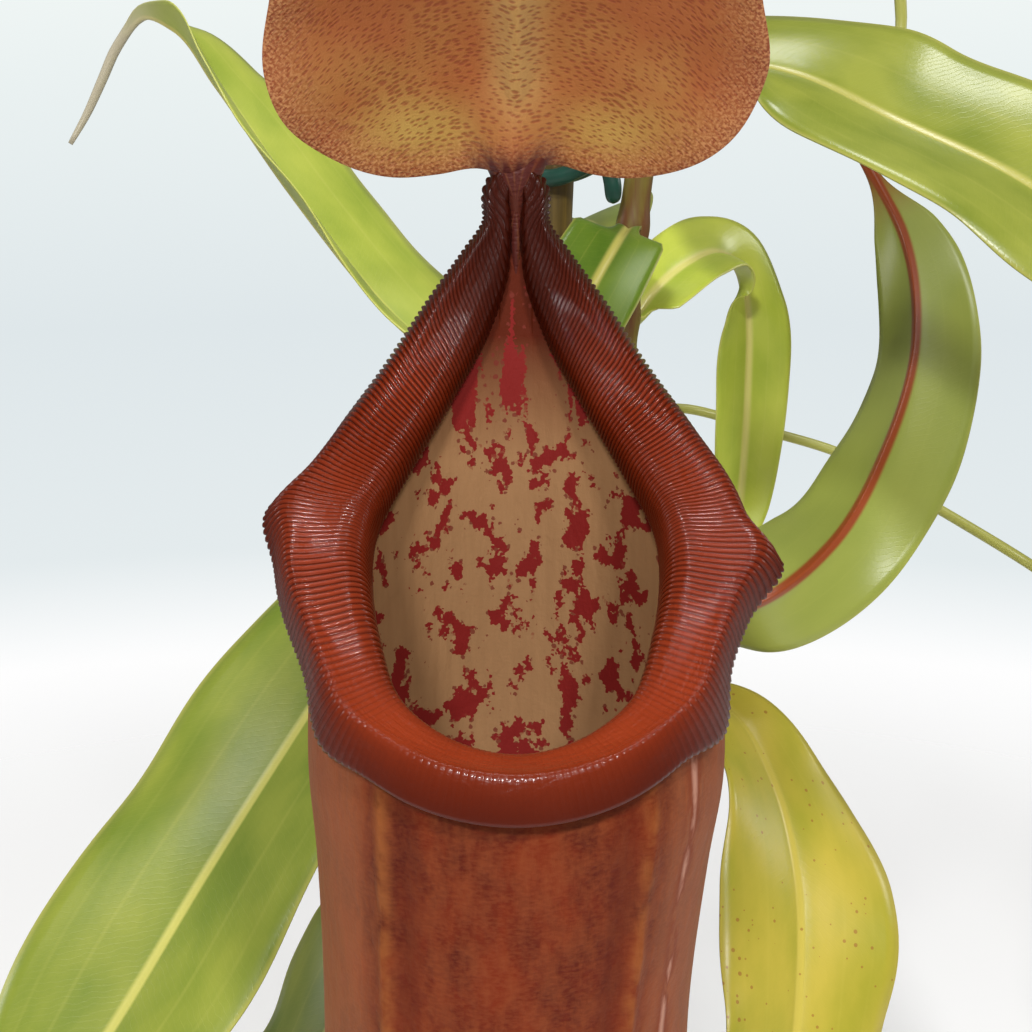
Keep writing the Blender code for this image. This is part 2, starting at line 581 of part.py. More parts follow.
def make_collar(name, pitcher, ribs, parts):
    """The ribbed collar, a rolled band that sits over the rim all the way round."""
    scale = pitcher[1]
    loop = rim_loop(np.arange(2 * ribs) / (2 * ribs), scale)
    face, out = rim_frames(loop)
    reach, drop, inner, fall, crest = loop[:, 4:9].T
    rib = np.where(np.arange(2 * ribs) % 2 == 0, 1.0, 0.0) * scale
    rib *= np.clip((170 - np.abs(loop[:, 9])) / 8, 0, 1)
    lift = RIB_RELIEF * rib
    wall = COLLAR_WALL * math.sqrt(scale)
    across = np.stack([-inner, -0.86 * inner, -0.42 * inner, 0.22 * reach, 0.74 * reach,
                       reach + TOOTH * rib, reach - np.minimum(wall, 0.5 * reach), 0.4 * reach,
                       -0.4 * inner, -inner + np.minimum(wall, 0.5 * inner)], axis=1)
    hollow = np.maximum(crest - wall, 0.05)
    up = np.stack([-fall, 0.35 * crest - 0.3 * fall + lift, 0.9 * crest + lift, crest + lift,
                   0.6 * crest + lift, -drop, 0.2 - drop, 0.5 * hollow, 0.5 * hollow,
                   0.2 - fall], axis=1)
    rings = loop[:, None, :3] + across[..., None] * out[:, None] + up[..., None] * face[:, None]
    loft(name, placed(rings, pitcher), "pitcher_collar", parts, closed=True)


def make_tube(name, pitcher, step, parts):
    """The pitcher's tube, a shell that is open at the mouth and closed at the tail."""
    scale = pitcher[1]
    dense = rim_loop(np.arange(900) / 900, scale)
    face, _ = rim_frames(dense)
    dense[:, :3] -= 0.8 * face
    bearing = dense[:, 9]
    body = np.arange(-156, 157, step)
    picks = [np.abs(bearing - at).argmin() for at in body]
    left, right = picks[0], picks[-1]
    spare = round(48 / step) + 1
    neck_left = np.linspace(0, left, spare, endpoint=False).astype(int)
    neck_right = np.linspace(right, 900, spare, endpoint=False).astype(int)[1:]
    rim = dense[np.concatenate([neck_left, picks, neck_right])]
    turn = np.concatenate([-180 + 24 * np.arange(spare) / spare, body,
                           156 + 24 * np.arange(1, spare) / spare])
    turn = np.radians(turn)
    raised = RIB_HEIGHT * (np.abs(np.abs(np.degrees(turn)) - RIB_BEARING) < 1)

    tube = np.array(TUBE) * scale
    tangent = unit(np.gradient(tube[:, :3], axis=0))
    tangent[:3] = (0, 0, -1)
    side = np.array((1.0, 0, 0))
    front = unit(np.cross(tangent, side))
    rings, normals = [], []
    for centre, forward, radius in zip(tube[:, :3], front, tube[:, 3]):
        normal = np.sin(turn)[:, None] * side + np.cos(turn)[:, None] * forward
        rings.append(centre + radius * normal)
        normals.append(normal)
    flat = unit(rim[:, :3] * [1, 1, 0])
    for share in (0.75, 0.5, 0.25, 0.0):
        rings.insert(0, rim[:, :3] * (1 - share) + rings[-len(TUBE)] * share)
        normals.insert(0, unit(flat * (1 - share) + normals[-len(TUBE)] * share))
    rings, normals = np.array(rings), np.array(normals)
    down = np.arange(len(rings))
    fade = np.clip(down / 2, 0, 1) * np.clip((len(rings) - 3 - down) / 4, 0, 1)
    outer = rings + normals * (TUBE_WALL / 2 + raised[:, None] * fade[:, None, None])
    inner = rings - normals * TUBE_WALL / 2
    shell = np.concatenate([inner[TUBE_FLOOR + 4::-1], outer])
    loft(name, placed(shell, pitcher), "pitcher_skin", parts)


def make_lid(name, pitcher, sides, parts):
    """The lid, a domed heart-shaped plate with a keel under its middle."""
    scale = pitcher[1]
    angle = np.arange(sides) * 2 * np.pi / sides
    spread = np.degrees(np.minimum(angle, 2 * np.pi - angle))
    table = np.array([(at, radius, 0) for at, radius in LID_OUTLINE])
    mirrored = np.concatenate([table[:0:-1] * [-1, 1, 1], table, table[-2::-1] * [-1, 1, 1] + [360, 0, 0]])
    reach = np.interp(spread, mirrored[:, 0], mirrored[:, 1])
    lean, growth = math.radians(LID_LEAN[0]), math.radians(LID_LEAN[1] - LID_LEAN[0]) / LID_LENGTH
    layers = []
    for under in (False, True):
        shares = (0.16, 0.5, 0.8, 0.95, 1.0)
        for share in shares[::-1] if under else shares:
            x = share * reach * np.sin(angle)
            along = LID_CENTRE + share * reach * np.cos(angle)
            now = lean + growth * along
            y = LID_FOOT[0] - (math.cos(lean) - np.cos(now)) / growth
            z = LID_FOOT[1] + (np.sin(now) - math.sin(lean)) / growth
            thick = LID_WALL * (0.72 if share == 1 else 1.0) / 2 / scale
            keel = LID_KEEL * (np.abs(np.sin(angle)) < 0.01) * (share < 0.9)
            rise = -LID_DOME * (x / LID_HALF_WIDTH) ** 2 + (-thick - keel if under else thick)
            layers.append(np.column_stack([x, y + rise * np.cos(now), z + rise * np.sin(now)]))
    loft(name, placed(np.array(layers) * scale, pitcher), "pitcher_lid", parts)


def make_pitcher(prefix, pitcher, ribs, step, sides, parts):
    """A whole open pitcher: tube, collar and lid."""
    make_tube(prefix + "_tube", pitcher, step, parts)
    make_collar(prefix + "_collar", pitcher, ribs, parts)
    make_lid(prefix + "_lid", pitcher, sides, parts)


def make_young(parts):
    """The closed young pitcher."""
    table = smooth(np.column_stack([YOUNG, YOUNG_GIRTH]), np.linspace(0, 1, 13))
    rod("young_pitcher", table[:, :3] * MM, table[:, 3] * MM, 10, "pitcher_skin", parts)


def main():
    """Build every piece in the plant's own collection."""
    for thing in list(bpy.data.objects):
        bpy.data.objects.remove(thing)
    parts = bpy.data.collections.new(PLANT)
    cutters = bpy.data.collections.new("cutters")
    bpy.context.scene.collection.children.link(parts)
    bpy.context.scene.collection.children.link(cutters)
    make_pot(parts, cutters)
    make_mix(parts, cutters)
    make_cane(parts)
    make_stem(parts)
    make_tie(parts, cutters)
    for leaf in LEAVES:
        make_leaf(leaf, parts)
    make_pitcher("pitcher", MAIN_PITCHER, 60, 12, 32, parts)
    make_pitcher("side_pitcher", SIDE_PITCHER, 26, 24, 24, parts)
    make_young(parts)


main()
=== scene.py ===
# %% [markdown]
# # A potted tropical pitcher plant
#
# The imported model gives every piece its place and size. This lesson dresses it: each
# cell makes one piece or one finish with numpy surfaces and procedural materials.
# Lengths in the tables are millimetres, because that is how a grower would measure
# the plant, and they become metres only when a mesh is made.

import math

import bpy
import numpy as np
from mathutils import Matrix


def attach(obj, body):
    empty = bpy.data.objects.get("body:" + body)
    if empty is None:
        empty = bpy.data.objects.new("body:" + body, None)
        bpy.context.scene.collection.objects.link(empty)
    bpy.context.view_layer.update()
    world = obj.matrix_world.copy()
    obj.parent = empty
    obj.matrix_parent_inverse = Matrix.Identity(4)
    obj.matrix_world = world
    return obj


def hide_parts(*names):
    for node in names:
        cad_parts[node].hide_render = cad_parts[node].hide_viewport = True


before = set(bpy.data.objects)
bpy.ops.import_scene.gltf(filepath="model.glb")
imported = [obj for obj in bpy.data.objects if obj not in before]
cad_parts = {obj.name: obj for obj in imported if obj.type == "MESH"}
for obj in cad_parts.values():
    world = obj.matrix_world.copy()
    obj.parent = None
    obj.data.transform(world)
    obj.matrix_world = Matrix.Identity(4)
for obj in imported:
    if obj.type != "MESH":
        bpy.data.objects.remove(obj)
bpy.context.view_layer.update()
MM = 0.001
print("packed model:", len(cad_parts), "nodes")

# %% [markdown]
# ## Camera
#
# The photograph was taken from a hand's length in front of the mouth, 15 degrees
# above it, so near leaves look much larger than far ones. One pixel at the mouth is
# 0.115 mm, which gives the lens: its length is the sensor's width times the distance
# over the width that the picture covers there.

# %% Camera
TARGET = np.array((0, -0.125, 0.335))
DISTANCE, ELEVATION, WIDTH_SEEN = 0.185, math.radians(15), 1032 * 0.115 * MM

lens = bpy.data.cameras.new("camera")
lens.sensor_width = 36
lens.lens = 36 * DISTANCE / WIDTH_SEEN
lens.clip_start = 0.01
camera = bpy.data.objects.new("camera", lens)
camera.location = TARGET + DISTANCE * np.array((0, -math.cos(ELEVATION), math.sin(ELEVATION)))
camera.rotation_euler = (math.pi / 2 - ELEVATION, 0, 0)
bpy.context.scene.collection.objects.link(camera)
bpy.context.scene.camera = camera
bpy.context.scene.view_settings.view_transform = "Standard"
print("lens", round(lens.lens, 1), "mm")

# %% [markdown]
# ## Helpers for materials
#
# Paint colours are written as the sRGB hex values that a colour picker shows, and
# one function turns them into the linear values that Blender mixes. Another adds a
# node, sets its values and links its inputs in one line. A third starts a material,
# with the values that are the same all over it on the shader's own sockets.

# %% Material helpers
def linear(colour):
    """sRGB hex to linear RGBA: c / 12.92 up to 0.04045, then ((c + 0.055) / 1.055) ** 2.4."""
    share = np.array([int(colour[k:k + 2], 16) for k in (1, 3, 5)]) / 255
    return (*np.where(share <= 0.04045, share / 12.92, ((share + 0.055) / 1.055) ** 2.4), 1.0)


def add_node(tree, kind, inputs=None, **settings):
    """Add a node. Each input takes a value, a hex colour, another node's output, or that node.

    A node given whole stands for its first output that is in use.
    """
    node = tree.nodes.new("ShaderNode" + kind)
    for name, value in settings.items():
        setattr(node, name, value)
    for name, value in (inputs or {}).items():
        if isinstance(value, bpy.types.Node):
            value = next(output for output in value.outputs if output.enabled)
        if isinstance(value, bpy.types.NodeSocket):
            tree.links.new(value, node.inputs[name])
        else:
            node.inputs[name].default_value = linear(value) if isinstance(value, str) else value
    return node


def new_material(name, **sockets):
    """A Principled material with its uniform values on the shader's own sockets."""
    material = bpy.data.materials.new(name)
    material.use_nodes = True
    tree = material.node_tree
    shader = tree.nodes["Principled BSDF"]
    for socket, value in sockets.items():
        shader.inputs[socket.replace("_", " ")].default_value = value
    return material, tree, shader


# %% [markdown]
# ## From grids to meshes
#
# Every piece below is a stack of rings: ring i is a closed line of points j. Joining
# each ring to the next makes a tube, and closing the two ends makes it a solid. Values
# such as "how far across the leaf" ride along on the points, so that a material can
# draw veins where the surface goes.

# %% Rings to a solid
def solid(name, shells, material, nodes=()):
    """One object from one or more closed shells of rings.

    A shell is (rings[i, j], values, looped). Quads join (i, j), (i, j+1), (i+1, j+1) and
    (i+1, j), with j wrapping round. A looped shell comes back to its first ring, and
    any other is closed by fans about the mean of its end rings. The sign of the volume,
    a sixth of the sum of a . (b x c) over the faces, tells whether they point outwards.
    """
    points, quads, fans, fields, start = [], [], [], {}, 0
    for rings, values, looped in shells:
        rings = np.asarray(rings, float)
        count, size = rings.shape[:2]
        index = start + np.arange(count * size).reshape(count, size)
        near = index if looped else index[:-1]
        far = np.roll(index, -1, axis=0) if looped else index[1:]
        around = np.stack([near, np.roll(near, -1, 1), np.roll(far, -1, 1), far], -1).reshape(-1, 4)
        block = [rings.reshape(-1, 3)]
        caps = np.empty((0, 3), int)
        if not looped:
            block.append(np.stack([rings[0].mean(0), rings[-1].mean(0)]))
            first, last = index[0], index[-1]
            hub = start + count * size
            caps = np.concatenate([
                np.stack([np.roll(first, -1), first, np.full(size, hub)], -1),
                np.stack([last, np.roll(last, -1), np.full(size, hub + 1)], -1)])
        block = np.concatenate(block)
        a, b, c, d = (block[around[:, k] - start] for k in range(4))
        volume = (a * np.cross(b, c)).sum() + (a * np.cross(c, d)).sum()
        e, f, g = (block[caps[:, k] - start] for k in range(3))
        volume += (e * np.cross(f, g)).sum()
        turn = slice(None, None, -1) if volume < 0 else slice(None)
        points.append(block)
        quads.append(around[:, turn])
        fans.append(caps[:, turn])
        for field, value in values.items():
            value = np.broadcast_to(np.asarray(value, float), rings.shape[:2] + np.shape(value)[2:])
            flat = value.reshape(count * size, -1)
            if not looped:
                hubs = [value[end].mean(0).reshape(1, -1) for end in (0, -1)]
                flat = np.concatenate([flat, *hubs])
            fields.setdefault(field, []).append(flat)
        start += len(block)
    points, quads, fans = (np.concatenate(part) for part in (points, quads, fans))

    mesh = bpy.data.meshes.new(name)
    mesh.vertices.add(len(points))
    mesh.vertices.foreach_set("co", (points * MM).ravel())
    corners = np.concatenate([quads.ravel(), fans.ravel()])
    mesh.loops.add(len(corners))
    mesh.loops.foreach_set("vertex_index", corners)
    mesh.polygons.add(len(quads) + len(fans))
    mesh.polygons.foreach_set("loop_start", np.concatenate(
        [4 * np.arange(len(quads)), 4 * len(quads) + 3 * np.arange(len(fans))]))
    mesh.update(calc_edges=True)
    mesh.shade_smooth()
    for field, value in fields.items():
        value = np.concatenate(value)
        flat = value.shape[1] == 1
        layer = mesh.attributes.new(field, "FLOAT" if flat else "FLOAT_VECTOR", "POINT")
        layer.data.foreach_set("value" if flat else "vector", value.ravel())
    mesh.materials.append(material)
    piece = bpy.data.objects.new(name, mesh)
    bpy.context.scene.collection.objects.link(piece)
    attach(piece, "root")
    if nodes:
        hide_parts(*nodes)
    print(f"{name}: {2 * len(quads) + len(fans)} triangles")
    return piece


# %% [markdown]
# ## Smooth lines
#
# The plant's lines are given by a few points each. A cubic through them bends as a
# stem does. A second function reads any table of rings at in-between rows in the same
# way, with one matrix of weights, and a third carries a cross-section's axes along a
# path without spinning them.

# %% Curves
def unit(vectors):
    """Vectors scaled to length 1."""
    return vectors / np.linalg.norm(vectors, axis=-1, keepdims=True)


def cubic(u, step, low, high, leave, arrive):
    """From low to high as u goes from 0 to 1, with the slopes leave and arrive at the two ends."""
    return ((1 + 2 * u) * (1 - u) ** 2 * low + u * (1 - u) ** 2 * step * leave
            + u * u * (3 - 2 * u) * high + u * u * (u - 1) * step * arrive)


def smooth(rows, shares, closed=False):
    """A cubic through rows, read at shares of its length.

    Between two rows the value is a cubic whose slopes come from the rows on either
    side. The first three columns are the place, and the others ride along.
    """
    rows = np.asarray(rows, float)
    if closed:
        rows = np.concatenate([rows[-3:], rows, rows[:4]])
    knots = np.append(0, np.cumsum(np.linalg.norm(np.diff(rows[:, :3], axis=0), axis=1)))
    slopes = np.gradient(rows, knots, axis=0)

    def read(at):
        k = np.clip(np.searchsorted(knots, at, side="right") - 1, 0, len(knots) - 2)
        step = (knots[k + 1] - knots[k])[:, None]
        u = (at - knots[k])[:, None] / step
        return cubic(u, step, rows[k], rows[k + 1], slopes[k], slopes[k + 1])

    start, end = (knots[3], knots[-4]) if closed else (knots[0], knots[-1])
    fine = np.linspace(start, end, 1500)
    length = np.append(0, np.cumsum(np.linalg.norm(np.diff(read(fine)[:, :3], axis=0), axis=1)))
    return read(np.interp(np.asarray(shares) * length[-1], length, fine))


def smoothstep(share):
    """3 s^2 - 2 s^3, with s held between 0 and 1."""
    share = np.clip(share, 0, 1)
    return share * share * (3 - 2 * share)


def curve(at, knots, values):
    """A table read by a cubic that never overshoots.

    The slope at a knot is the harmonic mean 2 a b / (a + b) of the straight slopes on
    either side of it, or 0 where those differ in sign.
    """
    line = np.diff(values) / np.diff(knots)
    a, b = line[:-1], line[1:]
    between = np.where(a * b > 0, 2 * a * b / np.where(a + b == 0, 1, a + b), 0)
    slopes = np.concatenate([line[:1], between, line[-1:]])
    k = np.clip(np.searchsorted(knots, at, side="right") - 1, 0, len(knots) - 2)
    step = knots[k + 1] - knots[k]
    u = np.clip((at - knots[k]) / step, 0, 1)
    return cubic(u, step, values[k], values[k + 1], slopes[k], slopes[k + 1])


def weights(count, at, closed=False):
    """Matrix that reads count rows at positions at, by the Catmull-Rom cubic.

    With u the way from row k to row k + 1, the four rows about it weigh
    (-u + 2u2 - u3)/2, (2 - 5u2 + 3u3)/2, (u + 4u2 - 3u3)/2 and (u3 - u2)/2.
    """
    at = np.asarray(at, float)
    k = np.floor(at).astype(int) if closed else np.clip(np.floor(at).astype(int), 0, count - 2)
    u = at - k
    share = np.stack([-u + 2 * u ** 2 - u ** 3, 2 - 5 * u ** 2 + 3 * u ** 3,
                      u + 4 * u ** 2 - 3 * u ** 3, u ** 3 - u ** 2]) / 2
    matrix = np.zeros((len(at), count))
    for step, part in enumerate(share):
        row = (k - 1 + step) % count if closed else np.clip(k - 1 + step, 0, count - 1)
        np.add.at(matrix, (np.arange(len(at)), row), part)
    return matrix


def carry(path, up=(0.0, 0.0, 1.0)):
    """Tangent, side and face along a path, turned about it as little as possible."""
    tangents = unit(np.gradient(path, axis=0))
    faces, up = np.empty_like(path), np.array(up)
    for k, tangent in enumerate(tangents):
        up = unit(up - (up @ tangent) * tangent)
        faces[k] = up
    return tangents, np.cross(tangents, faces), faces


def normals(grid):
    """The way out of a grid of rings: the cross product of its two directions."""
    down = np.gradient(grid, axis=0)
    across = np.roll(grid, -1, axis=1) - np.roll(grid, 1, axis=1)
    out = unit(np.cross(across, down))
    centre = grid.mean(axis=1, keepdims=True)
    return out * np.sign(((grid - centre) * out).sum())


def bar(path, radii, sides, up=(0.0, 0.0, 1.0)):
    """Rings of a round bar: centre + radius (cos a side + sin a face)."""
    _, side, face = carry(path, up)
    angle = np.arange(sides) * 2 * np.pi / sides
    radii = np.asarray(radii, float)
    if radii.ndim < 2:
        radii = np.broadcast_to(radii, len(path))[:, None]
    return path[:, None] + radii[..., None] * (np.cos(angle)[:, None] * side[:, None]
                                               + np.sin(angle)[:, None] * face[:, None])


# %% [markdown]
# ## The stem and the cane
#
# The plant is a vine. Its stem is a little thicker where each leaf clasps it, and ends
# in a furled young leaf. It is tied to a bamboo cane, whose joints are raised rings
# above a narrow waist. Both are round bars whose radius is a function of the way along.

# %% Stem and cane shapes
STEM = np.array([(4, -8, 60), (6, -8, 112), (2, -14, 170), (9, -10, 240), (17, -4, 305), (22, -3, 362),
                 (30, -6, 425), (37, -3, 486), (44, -2, 548)], float)
STEM_GIRTH = [(60, 4.2), (170, 3.8), (305, 3.2), (362, 2.7), (425, 2.5), (486, 2.3), (498, 1.7),
              (515, 3.0), (532, 2.2), (548, 0.5)]
CANE = np.array([(-5, 4, 30), (13, -1, 520)], float)
CANE_RADIUS, CANE_LENGTH, CANE_JOINTS = 3.4, 490, (0.22, 0.45, 0.62, 0.87)
LEAF_HEIGHTS = (126, 140, 153, 176, 233, 258, 286, 303, 322, 332, 341, 357.5, 388, 422, 441, 462)
stem_line = smooth(STEM, np.linspace(0, 1, 400))


def stem_at(height):
    """Centre of the stem at a height, and its radius there."""
    centre = np.array([np.interp(height, stem_line[:, 2], stem_line[:, axis]) for axis in range(3)])
    return centre, np.interp(height, *np.transpose(STEM_GIRTH))


def stem_rings():
    """Radius = girth + a bump 0.45 exp(-(z - leaf)^2 / 9) at each leaf + a slow ripple."""
    path = smooth(STEM, np.linspace(0, 1, 420))
    height = path[:, 2]
    girth = np.interp(height, *np.transpose(STEM_GIRTH))
    girth += 0.45 * np.exp(-((height[:, None] - np.array(LEAF_HEIGHTS)) / 3) ** 2).sum(axis=1)
    girth += 0.06 * np.sin(height / 3.1) * (height < 490)
    return bar(path, girth, 20), {}


def cane_rings():
    """Radius = 3.4 + a ring at each joint - a waist just under it, closed by a hollow top."""
    share = np.linspace(0, 1, 360)
    line = CANE[0] + share[:, None] * (CANE[1] - CANE[0])
    from_joint = (share[:, None] - np.array(CANE_JOINTS)) * CANE_LENGTH
    radius = CANE_RADIUS + (0.5 * np.exp(-(from_joint / 0.8) ** 2)
                            - 0.22 * np.exp(-((from_joint + 2.6) / 1.4) ** 2)
                            + 0.16 * np.exp(-(from_joint / 9) ** 2)).sum(axis=1)
    top = unit(CANE[1] - CANE[0])
    lip = [(0.35, 3.1), (0.4, 1.6), (-0.3, 1.25), (-6, 1.1)]
    line = np.concatenate([line, [CANE[1] + rise * top for rise, _ in lip]])
    radius = np.append(radius, [r for _, r in lip])
    side = unit(np.cross(top, (0, 1, 0)))
    angle = np.arange(28) * 2 * np.pi / 28
    spokes = np.cos(angle)[:, None] * side + np.sin(angle)[:, None] * np.cross(top, side)
    return line[:, None] + radius[:, None, None] * spokes, {}


# %% [markdown]
# ## The leaves
#
# A leaf of this plant is a leathery strap with a raised midrib that runs on past the
# blade as a tendril. Its cross-section is a shallow V with softly arched halves; the
# section shrinks to a small circle where the tendril starts. So one closed ring of
# points, carried along the midrib, makes blade, rib and tendril in a single skin.

# %% Leaf shapes
OUTLINE = np.array([(0.0, 0.22), (0.08, 0.24), (0.20, 0.32), (0.36, 0.84), (0.50, 1.0), (0.66, 0.97),
                    (0.82, 0.72), (0.93, 0.34), (1.0, 0.07)])
TENDRIL_RADIUS, TENDRIL_STEP = 1.25, 2.2
BLADE_ROWS, TOP_POINTS, UNDER_POINTS = 130, 19, 25


def leaf_rings(height, blade, width, tendril, stalk=1.0, fold=14.0, wave=1.3, tip=0.6, seed=0):
    """Rings of one leaf.

    Across the blade, from -1 to 1, the surface rises by |x| tan(fold), plus an arch
    sin(pi |across|), plus waves that grow with across squared towards the margin. Under
    it stands the rib, a bump exp(-(x / 1.1)^2). Past the blade the ring is a circle.
    """
    centre, girth = stem_at(height)
    foot = centre + unit((np.array(blade[0][:3]) - centre) * [1, 1, 0]) * (girth + 0.9)
    rows = [(*foot, blade[0][3] * 0.5), *blade, *((*point, blade[-1][3]) for point in tendril)]
    rows = np.array(rows, float)
    fine = smooth(rows, np.linspace(0, 1, 800))
    travel = np.append(0, np.cumsum(np.linalg.norm(np.diff(fine[:, :3], axis=0), axis=1)))
    length = travel[np.linalg.norm(fine[:, :3] - np.array(blade[-1][:3]), axis=1).argmin()]
    total = travel[-1]
    tendril_rows = max(12, int((total - length) / TENDRIL_STEP))
    stops = np.append(np.linspace(0, 1, BLADE_ROWS) * length, np.linspace(length, total, tendril_rows)[1:])
    path = smooth(rows, stops / total)
    path = np.concatenate([[(*(centre + 0.2 * (foot - centre)), path[0, 3])], path])
    stops = np.append(-girth, stops)
    spot = np.maximum(stops / length, 0)
    tangents, sides, faces = carry(path[:, :3])
    roll = np.radians(path[:, 3])[:, None]
    faces, sides = faces * np.cos(roll) + sides * np.sin(roll), sides * np.cos(roll) - faces * np.sin(roll)

    outline = OUTLINE.copy()
    outline[1:4, 0] *= stalk
    half = width / 2 * curve(spot, *outline.T)[:, None]
    bladed = smoothstep((1 - spot) / 0.12)[:, None]
    beyond = np.clip((stops - length) / (total - length), 0, 1)[:, None]
    thin = TENDRIL_RADIUS + (tip - TENDRIL_RADIUS) * beyond ** 2

    top, below = np.linspace(-1, 1, TOP_POINTS), np.linspace(1, -1, UNDER_POINTS)
    across = np.concatenate([np.sign(top) * np.abs(top) ** 1.3, [1.004],
                             np.sign(below) * np.abs(below) ** 1.8, [-1.004]])
    under = np.concatenate([np.zeros(TOP_POINTS), [0.5], np.ones(UNDER_POINTS), [0.5]])
    x, off = half * across, np.abs(across)
    chance = np.random.default_rng(seed)
    right_beat, left_beat, slow_beat = chance.uniform(0, 6, 4)[:3]
    ripple = np.sin(2 * np.pi * 3.2 * spot)[:, None] * np.sign(across) + 0.35
    crimp = (np.sin(spot * 41 + right_beat)[:, None] * (across > 0)
             + np.sin(spot * 37 + left_beat)[:, None] * (across < 0)) * np.clip(half / 14, 0, 1)
    slow = np.sin(spot * 17 + slow_beat)[:, None] * 0.3 * across
    lift = ((np.sqrt(x ** 2 + 0.6) - 0.77) * math.tan(math.radians(fold))
            + 0.045 * half * np.sin(np.pi * np.minimum(off, 1))
            + (wave * ripple * off ** 2 + 0.30 * crimp * off ** 4 + slow) * np.clip(half / 12, 0, 1))
    thick = 0.34 - 0.14 * off ** 3
    rib = (0.9 * np.exp(-0.7 * spot) + 1.3 * np.exp(-9 * spot))[:, None]
    keel = rib * np.exp(-(x / (0.75 + 0.35 * rib)) ** 2)
    groove = 0.28 * np.exp(-(x / 0.6) ** 2)
    depth = np.where(under == 1, -thick - keel, np.where(under == 0, thick - groove, 0))
    angle = np.pi / 2 * np.concatenate([1 - top, [0], below - 1, [-2]])
    wide = bladed * x + (1 - bladed) * thin * np.cos(angle)
    high = bladed * (lift + depth) + (1 - bladed) * thin * np.sin(angle)
    rings = path[:, None, :3] + wide[..., None] * sides[:, None] + high[..., None] * faces[:, None]
    place = np.stack(np.broadcast_arrays(stops[:, None], x, across), axis=-1)
    return rings, {"leaf": place, "underside": under[None], "blade": bladed}


# %% [markdown]
# ## Where each leaf goes
#
# Every leaf leaves the stem at its own height and arches over by its own weight. A leaf
# is therefore told by a handful of points: its midrib, then its tendril, with a roll
# in degrees where the blade twists. Each row holds its look, the height of its foot,
# the midrib's points, the blade's width, the tendril's points, and what else differs:
# how soon the blade widens, its fold in degrees, its waves and the tendril's end. Most
# were laid against the photograph. The low and high ones fill in what is outside it.

